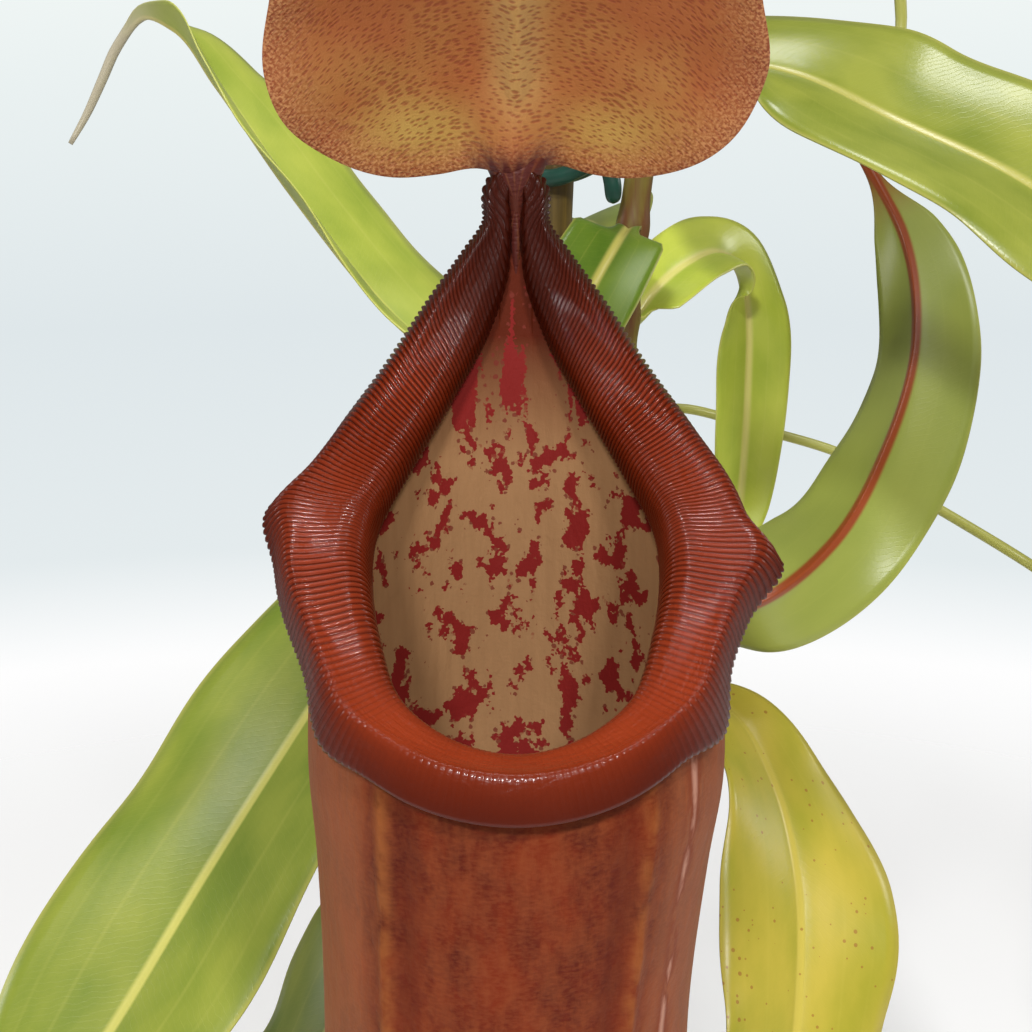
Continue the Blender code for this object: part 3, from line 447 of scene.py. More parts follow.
# %% Leaf table
LEAVES = {
    "leaf_low_right": (
        "deep", 126,
        [(42, -26, 152, 0), (86, -50, 160, 0), (124, -70, 142, 0), (146, -82, 118, 0)],
        40, [(151, -84, 106), (148, -80, 96), (141, -77, 99)]),
    "leaf_low_front": (
        "deep", 140,
        [(-12, -38, 154, 0), (-36, -78, 160, 0), (-58, -112, 142, 0), (-68, -128, 116, 0)],
        38, [(-69, -130, 104), (-66, -126, 94), (-60, -121, 97)]),
    "leaf_low_left": (
        "deep", 153,
        [(-36, -8, 166, 0), (-80, 2, 165, 0), (-122, 8, 145, 0), (-142, 12, 118, 0)],
        42, [(-146, 13, 106), (-143, 14, 96), (-136, 14, 100)]),
    "leaf_low_back": (
        "deep", 176,
        [(20, 10, 189, 0), (20, 60, 204, 0), (22, 108, 190, 0), (23, 134, 160, 0)],
        42, [(23, 138, 146), (21, 136, 134), (15, 131, 137)]),
    "leaf_mid_left": (
        "fresh", 233,
        [(-16, -15, 238, 0), (-30, -24, 218, 4), (-43, -36, 190, 4), (-49, -44, 158, 4)],
        38, [(-49, -45, 146), (-46, -43, 136), (-40, -40, 138)]),
    "leaf_yellow": (
        "yellow", 258,
        [(27, -14, 269, 0), (40, -23, 270, 0), (46, -35, 262, -6), (49, -48, 249, -8),
         (48, -60, 231, -6), (43, -72, 208, 0), (36, -79, 186, 0)],
        34, [(33, -81, 176), (29, -80, 168), (25, -75, 168)], 1.1, 8, 2.2),
    "leaf_curled_right": (
        "red_ribbed", 286,
        [(44, -25, 292, -86), (59, -15, 300, -120), (71, -1, 314, -150), (80, 16, 334, -162),
         (80, 32, 353, -158), (73, 42, 368, -140)],
        25.5, [(69, 46, 376), (62, 49, 382), (55, 49, 380)], 0.45, 20, 0.8),
    "leaf_back_left": (
        "dry_tipped", 303,
        [(12, 10, 309, 0), (-30, 61, 334, 24), (-53, 77, 360, 28), (-71, 91, 383, 30),
         (-82, 99, 396, 40), (-90, 103, 399, 50), (-97, 104, 392, 50)],
        38, [(-101, 103, 384), (-105, 102, 376), (-109, 100, 369)], 0.9, 24, 1.0),
    "leaf_front_left": (
        "fresh", 322,
        [(2, -11, 322, 0), (-16, -21, 304, -10), (-34, -40, 280, -25), (-50, -69, 260, -30),
         (-62, -92, 244, -30), (-73, -112, 232, -20), (-83, -130, 222, -10)],
        40, [(-90, -139, 213), (-94, -144, 198), (-94, -144, 182), (-90, -139, 170),
             (-81.5, -132.9, 167.7)], 0.85, 10, 1.3, 1.35),
    "leaf_back": (
        "fresh", 332,
        [(18, 28, 352, 0), (12, 62, 352, 0), (8, 94, 331, 0), (13, 112, 307, 0)],
        34, [(28, 116, 300), (45, 110, 301), (64, 108, 296), (84, 101, 291), (106, 88, 280),
             (128, 75, 268), (146, 80, 255), (164, 98, 234), (180, 114, 204), (186, 120, 174),
             (183, 113, 152), (177.5, 101, 146.4), (173.6, 88.5, 147.1)], 1.0, 14, 1.3, 1.6),
    "leaf_carrier": (
        "carrier", 357.5,
        [(18.7, -11.7, 356, -14), (13.3, -22, 348.5, -16), (6.8, -34.1, 338, -10), (8, -56, 268, 0),
         (5, -64, 240, 0), (0, -69, 216, 0)],
        20, [(-1, -69, 205), (-2, -65, 192), (-2, -61, 180), (-1, -66, 171.4), (0, -78, 171.4),
             (0, -93.6, 175.5)], 0.12, 15, 0.8, 2.2),
    "leaf_strap": (
        "strap", 341,
        [(26.5, 2, 345.3, 40), (33.6, 9.4, 349.8, 40), (40.1, 16.9, 350.8, 40),
         (45.1, 23.1, 346.8, 85), (47.2, 24.9, 338, 115), (47.8, 24.8, 322.1, 130),
         (46.6, 20.9, 300, 135), (43.9, 14, 281.9, 135)],
        16, [(42, 9, 270), (39, 6, 264), (36, 5, 265)], 0.1, 20, 1.0),
    "leaf_top_right": (
        "pale", 388,
        [(48, -8, 385, 30), (64, -25, 377, 38), (83, -40, 367, 42), (100, -54, 352, 42),
         (113, -64, 330, 35), (119, -69, 308, 25)],
        34, [(121, -70, 296), (119, -67, 286), (113, -63, 288)], 0.2, 14, 0.8),
    "leaf_high_right": (
        "fresh", 422,
        [(48, 18, 447, 0), (65, 36, 452, 0), (76, 44, 430, 0), (79, 44, 402, 0)],
        30, [(79, 43, 392), (76, 41, 388), (72, 39, 391)]),
    "leaf_high_left": (
        "fresh", 441,
        [(18, -18, 455, 0), (-6, -22, 472, 0), (-36, -14, 483, 0), (-70, 2, 470, 0),
         (-92, 14, 445, 0)],
        32, [(-97, 17, 433), (-96, 18, 421), (-90, 18, 423)]),
    "leaf_high_back": (
        "fresh", 462,
        [(38, 24, 489, 0), (40, 56, 502, 0), (42, 90, 490, 0), (42, 110, 466, 0)],
        28, [(42, 114, 455), (41, 112, 444), (36, 108, 445)]),
}
print(len(LEAVES), "leaves in the table")

# %% [markdown]
# ## Leaf skin
#
# The leaf is a smooth, waxy cuticle over green tissue. Its gloss is low and broad, a
# pale midrib runs down the middle with a fainter vein on each side, and fine veinlets
# slant away from it a little over a millimetre apart. Old leaves turn yellow and gain
# red specks. The veins follow the surface, so they read the values that ride on it.

# %% Leaf material
def leaf_material(name, light, deep, back, rib, rib_back, specks=0.0, dry=None, gloss=0.34):
    """Waxy living leaf: cuticle of IOR 1.45, whose broad low gloss gives the eye its soft bend."""
    material, tree, shader = new_material(name, Roughness=gloss, IOR=1.45, Sheen_Weight=0.05)
    place = add_node(tree, "Attribute", attribute_name="leaf").outputs["Vector"]
    along, x, share = add_node(tree, "SeparateXYZ", {0: place}).outputs
    off = add_node(tree, "Math", {0: x}, operation="ABSOLUTE")
    under = add_node(tree, "Attribute", attribute_name="underside").outputs["Fac"]
    under = add_node(tree, "Math", {0: under, 1: 0.6}, operation="GREATER_THAN")

    # Patches of lighter and deeper green, about 11 mm across and drawn out along the leaf
    stretch = add_node(tree, "Mapping", {"Vector": place, "Scale": (0.45, 1.0, 0.0)})
    patch = add_node(tree, "TexNoise", {"Vector": stretch, "Scale": 1 / 11, "Detail": 6.0})
    patch = add_node(tree, "MapRange", {0: patch, 1: 0.35, 2: 0.65})
    green = add_node(tree, "Mix", {0: patch, 6: deep, 7: light}, data_type="RGBA")

    # Veinlets: slanting lines 1.3 mm apart, bent a little by noise
    slant = add_node(tree, "Math", {0: off, 1: -0.8, 2: along}, operation="MULTIPLY_ADD")
    wander = add_node(tree, "TexNoise", {"Vector": place, "Scale": 1 / 3.5, "Detail": 2.0})
    slant = add_node(tree, "Math", {0: wander, 1: 2.6, 2: slant}, operation="MULTIPLY_ADD")
    veinlet = add_node(tree, "Math", {0: slant, 1: math.pi / 1.3}, operation="MULTIPLY")
    veinlet = add_node(tree, "Math", {0: veinlet}, operation="SINE")
    veinlet = add_node(tree, "Math", {0: veinlet}, operation="ABSOLUTE")
    veinlet = add_node(tree, "MapRange", {0: veinlet, 1: 0.0, 2: 0.30, 3: 1.0, 4: 0.0})
    veined = add_node(tree, "Math", {0: veinlet, 1: 0.04}, operation="MULTIPLY")
    green = add_node(tree, "Mix", {0: veined, 6: green, 7: rib}, data_type="RGBA")

    # Two long veins on each side, at 45 and 74 hundredths of the half width, and a pale margin
    wide = add_node(tree, "Math", {0: share}, operation="ABSOLUTE")
    lines = 0.0
    for centre, strength in ((0.45, 0.10), (0.74, 0.06)):
        away = add_node(tree, "Math", {0: wide, 1: centre}, operation="SUBTRACT")
        away = add_node(tree, "Math", {0: away}, operation="ABSOLUTE")
        line = add_node(tree, "MapRange", {0: away, 1: 0.006, 2: 0.022, 3: strength, 4: 0.0})
        lines = add_node(tree, "Math", {0: line, 1: lines}, operation="ADD")
    margin = add_node(tree, "MapRange", {0: wide, 1: 0.955, 2: 0.995, 3: 0.0, 4: 0.55})
    lines = add_node(tree, "Math", {0: margin, 1: lines}, operation="ADD")
    green = add_node(tree, "Mix", {0: lines, 6: green, 7: rib}, data_type="RGBA")
    middle = add_node(tree, "MapRange", {0: off, 1: 0.35, 2: 1.2, 3: 1.0, 4: 0.0},
                      interpolation_type="SMOOTHSTEP")
    front = add_node(tree, "Mix", {0: middle, 6: green, 7: rib}, data_type="RGBA")

    # The back of the leaf is paler and duller, and its rib is a rounded ridge
    behind = add_node(tree, "Mix", {0: 0.7, 6: green, 7: back}, data_type="RGBA")
    ridge = add_node(tree, "MapRange", {0: off, 1: 0.75, 2: 1.45, 3: 1.0, 4: 0.0},
                     interpolation_type="SMOOTHSTEP")
    behind = add_node(tree, "Mix", {0: ridge, 6: behind, 7: rib_back}, data_type="RGBA")
    colour = add_node(tree, "Mix", {0: under, 6: front, 7: behind}, data_type="RGBA")

    # The tendril is round and plain, green like the rib's back, or grey where it has dried
    blade = add_node(tree, "Attribute", attribute_name="blade").outputs["Fac"]
    colour = add_node(tree, "Mix", {0: blade, 6: dry or rib_back, 7: colour}, data_type="RGBA")

    # Specks about half a millimetre across, on spots chosen by a second, coarser noise
    spots = add_node(tree, "TexVoronoi", {"Vector": place, "Scale": 1 / 1.9, "Randomness": 1.0})
    chosen = add_node(tree, "TexNoise", {"Vector": place, "Scale": 1 / 9})
    reach = add_node(tree, "MapRange", {0: chosen, 1: 0.75 - 0.37 * specks, 2: 0.9 - 0.25 * specks,
                                        3: 0.0, 4: 0.20})
    speck = add_node(tree, "Math", {0: spots, 1: reach}, operation="LESS_THAN")
    speck = add_node(tree, "Math", {0: speck, 1: 0.25 + 0.3 * specks}, operation="MULTIPLY")
    speck = add_node(tree, "Math", {0: speck, 1: blade}, operation="MULTIPLY")
    colour = add_node(tree, "Mix", {0: speck, 6: colour, 7: "#8a3a1c"}, data_type="RGBA")
    tree.links.new(colour.outputs[2], shader.inputs["Base Color"])

    # Veins stand a hair proud, with a fine pebbled cuticle between them
    grain = add_node(tree, "TexNoise", {"Vector": place, "Scale": 1 / 0.9, "Detail": 3.0})
    relief = add_node(tree, "Math", {0: grain, 1: 2.0, 2: veinlet}, operation="MULTIPLY_ADD")
    relief = add_node(tree, "Math", {0: relief, 1: blade}, operation="MULTIPLY")
    bump = add_node(tree, "Bump", {"Height": relief, "Strength": 0.14, "Distance": 0.06 * MM})
    tree.links.new(bump.outputs[0], shader.inputs["Normal"])
    return material


leaf_looks = {
    "fresh": leaf_material("waxy_fresh_leaf", "#868f33", "#697b24", "#7b8836", "#b9b55e", "#a5a552"),
    "deep": leaf_material("waxy_deep_leaf", "#74802c", "#566a1f", "#6f7c34", "#a3a04c", "#8f8a45"),
    "pale": leaf_material("waxy_pale_leaf", "#8c9238", "#707c25", "#8d9548", "#aaa654", "#b1b064",
                          gloss=0.28),
    "strap": leaf_material("waxy_thin_leaf", "#bec74d", "#9faf39", "#acb54a", "#cfc974", "#c2bb64",
                           gloss=0.3),
    "dry_tipped": leaf_material("waxy_dry_tipped_leaf", "#a4ad43", "#8a9a33", "#9aa642", "#c9c46e",
                                "#bbb45e", dry="#a8a08a"),
    "carrier": leaf_material("waxy_shaded_leaf", "#61771a", "#44600f", "#6b6a28", "#a8a150", "#83582a"),
    "red_ribbed": leaf_material("waxy_red_ribbed_leaf", "#909844", "#718232", "#909844", "#b9b55e",
                                "#8a3c14"),
    "yellow": leaf_material("waxy_old_leaf", "#b5a43a", "#9b962a", "#a89f45", "#bcac48", "#ac9f44",
                            specks=1.0),
}
for number, (name, (look, *shape)) in enumerate(LEAVES.items()):
    rings, values = leaf_rings(*shape, seed=number)
    blade_name = name.replace("leaf_", "blade_")
    solid(blade_name, [(rings, values, False)], leaf_looks[look], [name])

# %% [markdown]
# ## Stem and cane finishes
#
# The stem's skin is green flushed with red-brown, with fine streaks that show which way
# it grows. The cane is dry bamboo: a hard brown rind, whose long fibres and stains
# tell the eye that it is dead and dry beside the living stem.

# %% Stem and cane
material, tree, shader = new_material("vine_skin", Roughness=0.45, IOR=1.45)
where = add_node(tree, "TexCoord").outputs["Object"]
fibre = add_node(tree, "Mapping", {"Vector": where, "Scale": (1000, 1000, 120)})
streak = add_node(tree, "TexNoise", {"Vector": fibre, "Scale": 0.8, "Detail": 4.0})
blush = add_node(tree, "TexNoise", {"Vector": where, "Scale": 45.0, "Detail": 3.0})
blend = add_node(tree, "Math", {0: streak, 1: 0.5, 2: blush}, operation="MULTIPLY_ADD")
blend = add_node(tree, "MapRange", {0: blend, 1: 0.62, 2: 0.9})
skin = add_node(tree, "Mix", {0: blend, 6: "#756f2c", 7: "#5f3a1a"}, data_type="RGBA")
tree.links.new(skin.outputs[2], shader.inputs["Base Color"])
bump = add_node(tree, "Bump", {"Height": streak, "Strength": 0.4, "Distance": 0.15 * MM})
tree.links.new(bump.outputs[0], shader.inputs["Normal"])
solid("vine", [(*stem_rings(), False)], material, ["stem"])

material, tree, shader = new_material("dry_bamboo", Roughness=0.42, IOR=1.5)
where = add_node(tree, "TexCoord").outputs["Object"]
fibre = add_node(tree, "Mapping", {"Vector": where, "Scale": (2200, 2200, 45)})
streak = add_node(tree, "TexNoise", {"Vector": fibre, "Scale": 0.7, "Detail": 5.0})
stain = add_node(tree, "TexNoise", {"Vector": where, "Scale": 90.0, "Detail": 4.0})
tone = add_node(tree, "Math", {0: streak, 1: stain}, operation="ADD")
tone = add_node(tree, "MapRange", {0: tone, 1: 0.75, 2: 1.25})
rind = add_node(tree, "Mix", {0: tone, 6: "#3e2f0e", 7: "#64501f"}, data_type="RGBA")
tree.links.new(rind.outputs[2], shader.inputs["Base Color"])
bump = add_node(tree, "Bump", {"Height": streak, "Strength": 0.5, "Distance": 0.1 * MM})
tree.links.new(bump.outputs[0], shader.inputs["Normal"])
solid("bamboo_cane", [(*cane_rings(), False)], material, ["cane"])

# %% [markdown]
# ## The tie
#
# A grower ties the stem with soft plastic wire, once round both and left to droop. The
# loop is a closed smooth line about the two bars, and its end is a second short bar.
# Its plastic is dark green and slightly clouded, with a soft gloss.

# %% The tie
TIE_ON_CANE, TIE_ON_STEM, WIRE_RADIUS = 366.5, 373, 1.6


def tie_rings():
    """A loop of wire round stem and cane, and its loose end, which droops."""
    cane = CANE[0] + (TIE_ON_CANE - CANE[0, 2]) / CANE_LENGTH * (CANE[1] - CANE[0])
    stem, girth = stem_at(TIE_ON_STEM)
    along = unit((stem - cane) * [1, 1, 0])
    across = np.array([-along[1], along[0], 0])
    turn = np.radians(np.linspace(-90, 90, 9))[:, None]
    half_loop = np.cos(turn) * along + np.sin(turn) * across
    knots = np.concatenate([stem + (girth + 2.0) * half_loop, cane - (CANE_RADIUS + 2.0) * half_loop])
    loop = smooth(knots, np.arange(120) / 120, closed=True)
    tangent = unit(np.roll(loop, -1, 0) - np.roll(loop, 1, 0))
    out = unit(np.cross(tangent, (0, 0, 1.0)))
    angle = np.arange(16) * 2 * np.pi / 16
    round_loop = loop[:, None] + WIRE_RADIUS * (np.cos(angle)[:, None] * out[:, None]
                                                + np.sin(angle)[:, None] * np.cross(out, tangent)[:, None])
    end = smooth([(13.5, -5.2, 370.9), (14.5, -5.6, 371.2), (16.2, -8.2, 369.6), (17.3, -9.0, 366.0),
                  (17.6, -8.6, 362.2)], np.linspace(0, 1, 40))
    radii = WIRE_RADIUS * np.sqrt(np.clip(1.02 - np.linspace(0, 1, 40) ** 14, 0, 1))
    return [(round_loop, {}, True), (bar(end, radii, 16, (1.0, 0, 0)), {}, False)]


material, tree, shader = new_material("soft_green_plastic", Roughness=0.38, IOR=1.5)
where = add_node(tree, "TexCoord").outputs["Object"]
cloud = add_node(tree, "TexNoise", {"Vector": where, "Scale": 400.0, "Detail": 3.0})
green = add_node(tree, "Mix", {0: cloud, 6: "#08261e", 7: "#114537"}, data_type="RGBA")
tree.links.new(green.outputs[2], shader.inputs["Base Color"])
bump = add_node(tree, "Bump", {"Height": cloud, "Strength": 0.4, "Distance": 0.2 * MM})
tree.links.new(bump.outputs[0], shader.inputs["Normal"])
solid("soft_tie", tie_rings(), material, ["tie"])

# %% [markdown]
# ## The pitcher's mouth
#
# The mouth is shaped like a drop of water leaning back: its rim climbs from the front
# lip to a narrow neck under the lid. Everything on the pitcher hangs from this rim, so
# it is worked out first, as a dense table of places, of the way the collar faces, and
# of how far the collar reaches in, out and down.

# %% Rim of the mouth
# Bearing from the front, radius, height, lean of the face, reach out, drop outside, reach in,
# drop inside, crest
RIM = np.array([
    (180.0, 25.6, 37.6, 90, 1.6, 0.2, 1.3, 0.2, 1.5), (175.7, 25.6, 35.4, 88, 1.9, 0.3, 1.4, 0.2, 1.5),
    (174.8, 25.4, 31.0, 86, 1.8, 0.4, 1.8, 0.3, 1.6), (170.5, 25.0, 26.5, 80, 2.8, 0.8, 3.5, 0.6, 1.8),
    (161.5, 24.6, 20.2, 72, 3.7, 1.2, 5.0, 1.0, 2.0), (148.0, 24.2, 12.4, 64, 4.2, 1.6, 5.4, 1.6, 2.2),
    (130.0, 24.0, 5.0, 56, 4.6, 2.0, 5.9, 2.4, 2.3), (108.0, 23.8, -0.6, 46, 4.6, 2.4, 6.3, 3.2, 2.4),
    (84.0, 23.4, -5.2, 34, 4.2, 2.8, 6.4, 3.6, 2.4), (62.0, 23.4, -11.8, 22, 3.0, 3.0, 6.0, 4.0, 2.4),
    (44.0, 23.6, -18.0, 12, 3.0, 3.0, 5.2, 4.0, 2.3), (22.0, 23.6, -21.6, 4, 3.4, 3.0, 4.8, 4.0, 2.3),
    (0.0, 23.6, -22.8, 0, 3.8, 3.0, 4.6, 4.0, 2.3)])
CORNERS = [(-103, 2.2, -1.6, 9), (87, 3.0, -1.4, 8), (-47, 0.9, 1.4, 8), (52, 0.8, 4.2, 7)]
RIM_STEPS = 3600
MAIN = {"place": (0, -125, 335), "scale": 1.0, "turn": 0.0}
SIDE = {"place": (168, 66, 262), "scale": 0.72, "turn": -14.0}


def rim_table(scale):
    """The rim at RIM_STEPS places, neck first, down the left side and up the right."""
    left = RIM.copy()
    left[:, 0] *= -1
    table = np.concatenate([left, RIM[-2:0:-1]])
    bearing = np.radians(table[:, 0])
    places = np.column_stack([table[:, 1] * np.sin(bearing), -table[:, 1] * np.cos(bearing), table[:, 2]])
    loop = smooth(np.column_stack([places, table[:, 3:]]), np.arange(RIM_STEPS) / RIM_STEPS, closed=True)
    bearing = np.degrees(np.arctan2(loop[:, 0], -loop[:, 1]))
    for at, reach, drop, spread in CORNERS:
        near = np.exp(-((bearing - at) / spread) ** 2)
        loop[:, 4] += reach * near
        loop[:, 5] += drop * near
    loop[:, :3] *= scale
    loop[:, 4:] *= scale
    tangent = unit(np.roll(loop[:, :3], -1, axis=0) - np.roll(loop[:, :3], 1, axis=0))
    lean = np.radians(loop[:, 3])
    face = np.column_stack([0 * lean, -np.sin(lean), np.cos(lean)])
    face = unit(face - (face * tangent).sum(axis=1, keepdims=True) * tangent)
    steps = np.linalg.norm(np.diff(loop[:, :3], axis=0, append=loop[:1, :3]), axis=1)
    return np.column_stack([loop[:, :3], face, np.cross(tangent, face), loop[:, 4:], bearing]), steps.sum()


def placed(points, pitcher):
    """Points of a pitcher at the origin, turned and moved to where it hangs."""
    turn = math.radians(pitcher["turn"])
    spin = np.array([(math.cos(turn), math.sin(turn), 0), (-math.sin(turn), math.cos(turn), 0), (0, 0, 1)])
    return points @ spin + pitcher["place"]


# %% [markdown]
# ## The ribbed collar
#
# The collar is a hard, wet-looking roll with a rib every 0.75 mm or so. In section it
# has two shoulders with a flat between them, an outer hem that hangs over the tube and
# an inner skirt that dives into the mouth. The ribs run from hem to skirt, sweep
# forward near the neck, and end in small teeth at the hem. Each rib gets six columns
# of points, two of them hard by its grooves, so the grooves stay narrow.

# %% Collar shape
# Section points: parts of inner reach, outer reach, and a constant; then parts of crest,
# inner drop, outer drop, and a constant; then how far across the ribs' sweep, hem 0 to skirt 1
COLLAR_SECTION = np.array([
    (-1.00, 0, 0.00, 0.00, -1.00, 0, 0.0, 1.00), (-0.99, 0, 0.00, 0.10, -0.55, 0, 0.0, 0.98),
    (-0.93, 0, 0.00, 0.42, -0.20, 0, 0.0, 0.93), (-0.80, 0, 0.00, 0.78, -0.04, 0, 0.0, 0.84),
    (-0.60, 0, 0.00, 0.99, 0, 0, 0.0, 0.74), (-0.30, 0, 0.00, 0.96, 0, 0, 0.0, 0.60),
    (0, 0.10, 0, 0.93, 0, 0, 0.0, 0.44), (0, 0.42, 0, 0.97, 0, 0, 0.0, 0.29),
    (0, 0.66, 0, 0.88, 0, 0, 0.0, 0.18), (0, 0.84, 0, 0.45, 0, -0.20, 0.0, 0.09),
    (0, 0.95, 0, 0.10, 0, -0.55, 0.0, 0.03), (0, 1.00, 0, 0.00, 0, -1.00, 0.0, 0.0),
    (0, 0.86, -0.10, 0.00, 0, -0.92, 0.1, 0.0), (0, 0.62, -0.2, 0.25, 0, -0.30, 0.0, 0.0),
    (0, 0.10, 0, 0.40, 0, 0, 0.0, 0.35), (-0.55, 0, 0, 0.35, -0.05, 0, 0.0, 0.70),
    (-0.84, 0, 0.05, 0.05, -0.55, 0, 0.0, 0.95)])
RIB_STEPS = np.array((0.0, 0.12, 0.30, 0.50, 0.70, 0.88))
RIB_HEIGHTS = np.array((0.0, 0.48, 0.88, 1.0, 0.88, 0.48))
# Row of the section table that is the hem's lowest point
HEM_POINT = 11


def collar_rings(pitcher, ribs, samples=48):
    """Rings of the collar, one per column of points.

    The section is place + a out + h face, with a and h read from the section table by
    the Catmull-Rom cubic. A point a share g across reads the rim a sweep
    s = 11 (1 - exp(-w / 4)) exp(-(w / 30)^2) mm nearer the front, with w the way from
    the neck. The ribs then push the surface out along its normal.
    """
    table, length = rim_table(pitcher["scale"])
    size = pitcher["scale"]
    phase = ((np.arange(ribs)[:, None] + RIB_STEPS) / ribs).ravel()
    section = weights(len(COLLAR_SECTION), np.arange(samples) / samples * len(COLLAR_SECTION), closed=True)
    a_in, a_out, a_flat, h_crest, h_fall, h_drop, h_flat, g = (section @ COLLAR_SECTION).T
    from_neck = np.minimum(phase, 1 - phase) * length / size
    sweep = 11 * size * (1 - np.exp(-from_neck / 4)) * np.exp(-(from_neck / 30) ** 2) / length
    at = phase[:, None] + np.where(phase < 0.5, sweep, -sweep)[:, None] * g
    row = at * RIM_STEPS
    low = np.floor(row).astype(int)
    mix = (row - low)[..., None]
    read = table[low % RIM_STEPS] * (1 - mix) + table[(low + 1) % RIM_STEPS] * mix
    place, face, out = read[..., :3], unit(read[..., 3:6]), unit(read[..., 6:9])
    reach, drop, inner, fall, crest, _ = np.moveaxis(read[..., 9:15], -1, 0)
    bearing = np.abs(table[(phase * RIM_STEPS).astype(int), 14])[:, None]
    across = a_in * inner + a_out * reach + a_flat * size
    up = h_crest * crest + h_fall * fall + h_drop * drop + h_flat * size
    rings = place + across[..., None] * out + up[..., None] * face

    height = np.tile(RIB_HEIGHTS, ribs)[:, None]
    swell = np.clip((bearing - 38) / 40, 0, 1)
    shown = np.clip(g * 9 + 0.25, 0, 1) * (np.arange(samples) < 0.70 * samples)
    strength = (0.045 + 0.43 * swell * np.clip((184 - bearing) / 32, 0, 1)) * shown * size
    across_way = np.roll(rings, -1, axis=0) - np.roll(rings, 1, axis=0)
    out_way = unit(np.cross(across_way, np.roll(rings, -1, axis=1) - np.roll(rings, 1, axis=1)))
    middle = rings.mean(axis=1, keepdims=True)
    out_way *= np.sign(((rings - middle) * out_way).sum())
    rings = rings + ((height - 0.5) * strength)[..., None] * out_way
    hem = np.exp(-((np.arange(samples) / samples * len(COLLAR_SECTION) - HEM_POINT) / 1.1) ** 2)
    tooth = (0.42 * np.clip((bearing - 30) / 40, 0, 1) * (height - 0.3) * hem * size)[..., None]
    rings = rings + tooth * (out - 0.5 * face)
    values = {"rib": (phase * ribs)[:, None], "over": g[None], "height": height, "bearing": bearing / 180}
    return placed(rings, pitcher), values


# %% [markdown]
# ## Collar finish
#
# A collar is coated with wax and nectar, so it shines like lacquer. Its colour carries
# painted light and shade: it is brighter towards the front lip, and painted shade darkens
# its grooves, its hem, the skirt inside and the neck under the lid. On the sides each rib
# carries even finer lines, 0.15 mm apart, which break its highlights into rows of glints;
# the front lip is smooth and only a little uneven along its roll.

# %% Collar material
def collar_material(name, lit, shade, hem):
    """Lacquered, ribbed plant cuticle: IOR 1.4 under a thin clear coat, whose glints look wet."""
    material, tree, shader = new_material(name, Roughness=0.28, IOR=1.4, Specular_IOR_Level=0.16,
                                          Coat_Weight=0.22, Coat_Roughness=0.08)
    rib = add_node(tree, "Attribute", attribute_name="rib").outputs["Fac"]
    over = add_node(tree, "Attribute", attribute_name="over").outputs["Fac"]
    height = add_node(tree, "Attribute", attribute_name="height").outputs["Fac"]
    bearing = add_node(tree, "Attribute", attribute_name="bearing").outputs["Fac"]
    where = add_node(tree, "TexCoord").outputs["Object"]
    cloud = add_node(tree, "TexNoise", {"Vector": where, "Scale": 110.0, "Detail": 4.0})
    cloud = add_node(tree, "MapRange", {0: cloud, 1: 0.35, 2: 0.68})

    # Painted light and shade: the lit red towards the front lip and the middle of the band, where the lamps
    # fall, the shaded red on the sides and near the hem, with a cloudy tone that varies at random
    front = add_node(tree, "MapRange", {0: bearing, 1: 0.15, 2: 0.75, 3: 1.0, 4: 0.0})
    band = add_node(tree, "MapRange", {0: over, 1: 0.14, 2: 0.42})
    lit_share = add_node(tree, "Math", {0: front, 1: 0.45}, operation="MULTIPLY")
    lit_share = add_node(tree, "Math", {0: cloud, 1: 0.35, 2: lit_share}, operation="MULTIPLY_ADD")
    lit_share = add_node(tree, "Math", {0: band, 1: 0.25, 2: lit_share}, operation="MULTIPLY_ADD",
                      use_clamp=True)
    red = add_node(tree, "Mix", {0: lit_share, 6: shade, 7: lit}, data_type="RGBA")
    # Painted shade: darker in the grooves between the ribs, under the turned-down hem, down the skirt into
    # the mouth and at the neck under the lid
    groove = add_node(tree, "MapRange", {0: height, 1: 0.0, 2: 0.8, 3: 0.95, 4: 0.0})
    side = add_node(tree, "MapRange", {0: bearing, 1: 0.20, 2: 0.42})
    groove = add_node(tree, "Math", {0: groove, 1: side}, operation="MULTIPLY")
    edge = add_node(tree, "MapRange", {0: over, 1: 0.0, 2: 0.30, 3: 0.85, 4: 0.0})
    skirt = add_node(tree, "MapRange", {0: over, 1: 0.60, 2: 0.95, 3: 0.0, 4: 0.55})
    neck = add_node(tree, "MapRange", {0: bearing, 1: 0.84, 2: 0.97, 3: 0.0, 4: 0.92})
    for share, darker in ((groove, "#1c0604"), (edge, hem), (skirt, "#3a0c04"), (neck, "#2e0a03")):
        red = add_node(tree, "Mix", {0: share, 6: red, 7: darker}, data_type="RGBA")
    tree.links.new(red.outputs[2], shader.inputs["Base Color"])

    # Fine lines: five to a rib on the sides, and everywhere a soft unevenness along the roll
    fine = add_node(tree, "Math", {0: rib, 1: 5 * 2 * math.pi}, operation="MULTIPLY")
    fine = add_node(tree, "Math", {0: fine}, operation="SINE")
    patchy = add_node(tree, "TexNoise", {"Vector": where, "Scale": 260.0, "Detail": 2.0})
    fine = add_node(tree, "Math", {0: fine, 1: patchy}, operation="MULTIPLY")
    fine = add_node(tree, "Math", {0: fine, 1: side}, operation="MULTIPLY")
    along = add_node(tree, "Math", {0: rib, 1: 0.3}, operation="MULTIPLY")
    level = add_node(tree, "Math", {0: over, 1: 16.0}, operation="MULTIPLY")
    roll = add_node(tree, "CombineXYZ", {0: along, 1: level})
    roll = add_node(tree, "TexNoise", {"Vector": roll, "Scale": 1.0, "Detail": 3.0})
    relief = add_node(tree, "Math", {0: roll, 1: 8.0, 2: fine}, operation="MULTIPLY_ADD")
    bump = add_node(tree, "Bump", {"Height": relief, "Strength": 0.5, "Distance": 0.05 * MM})
    tree.links.new(bump.outputs[0], shader.inputs["Normal"])
    return material
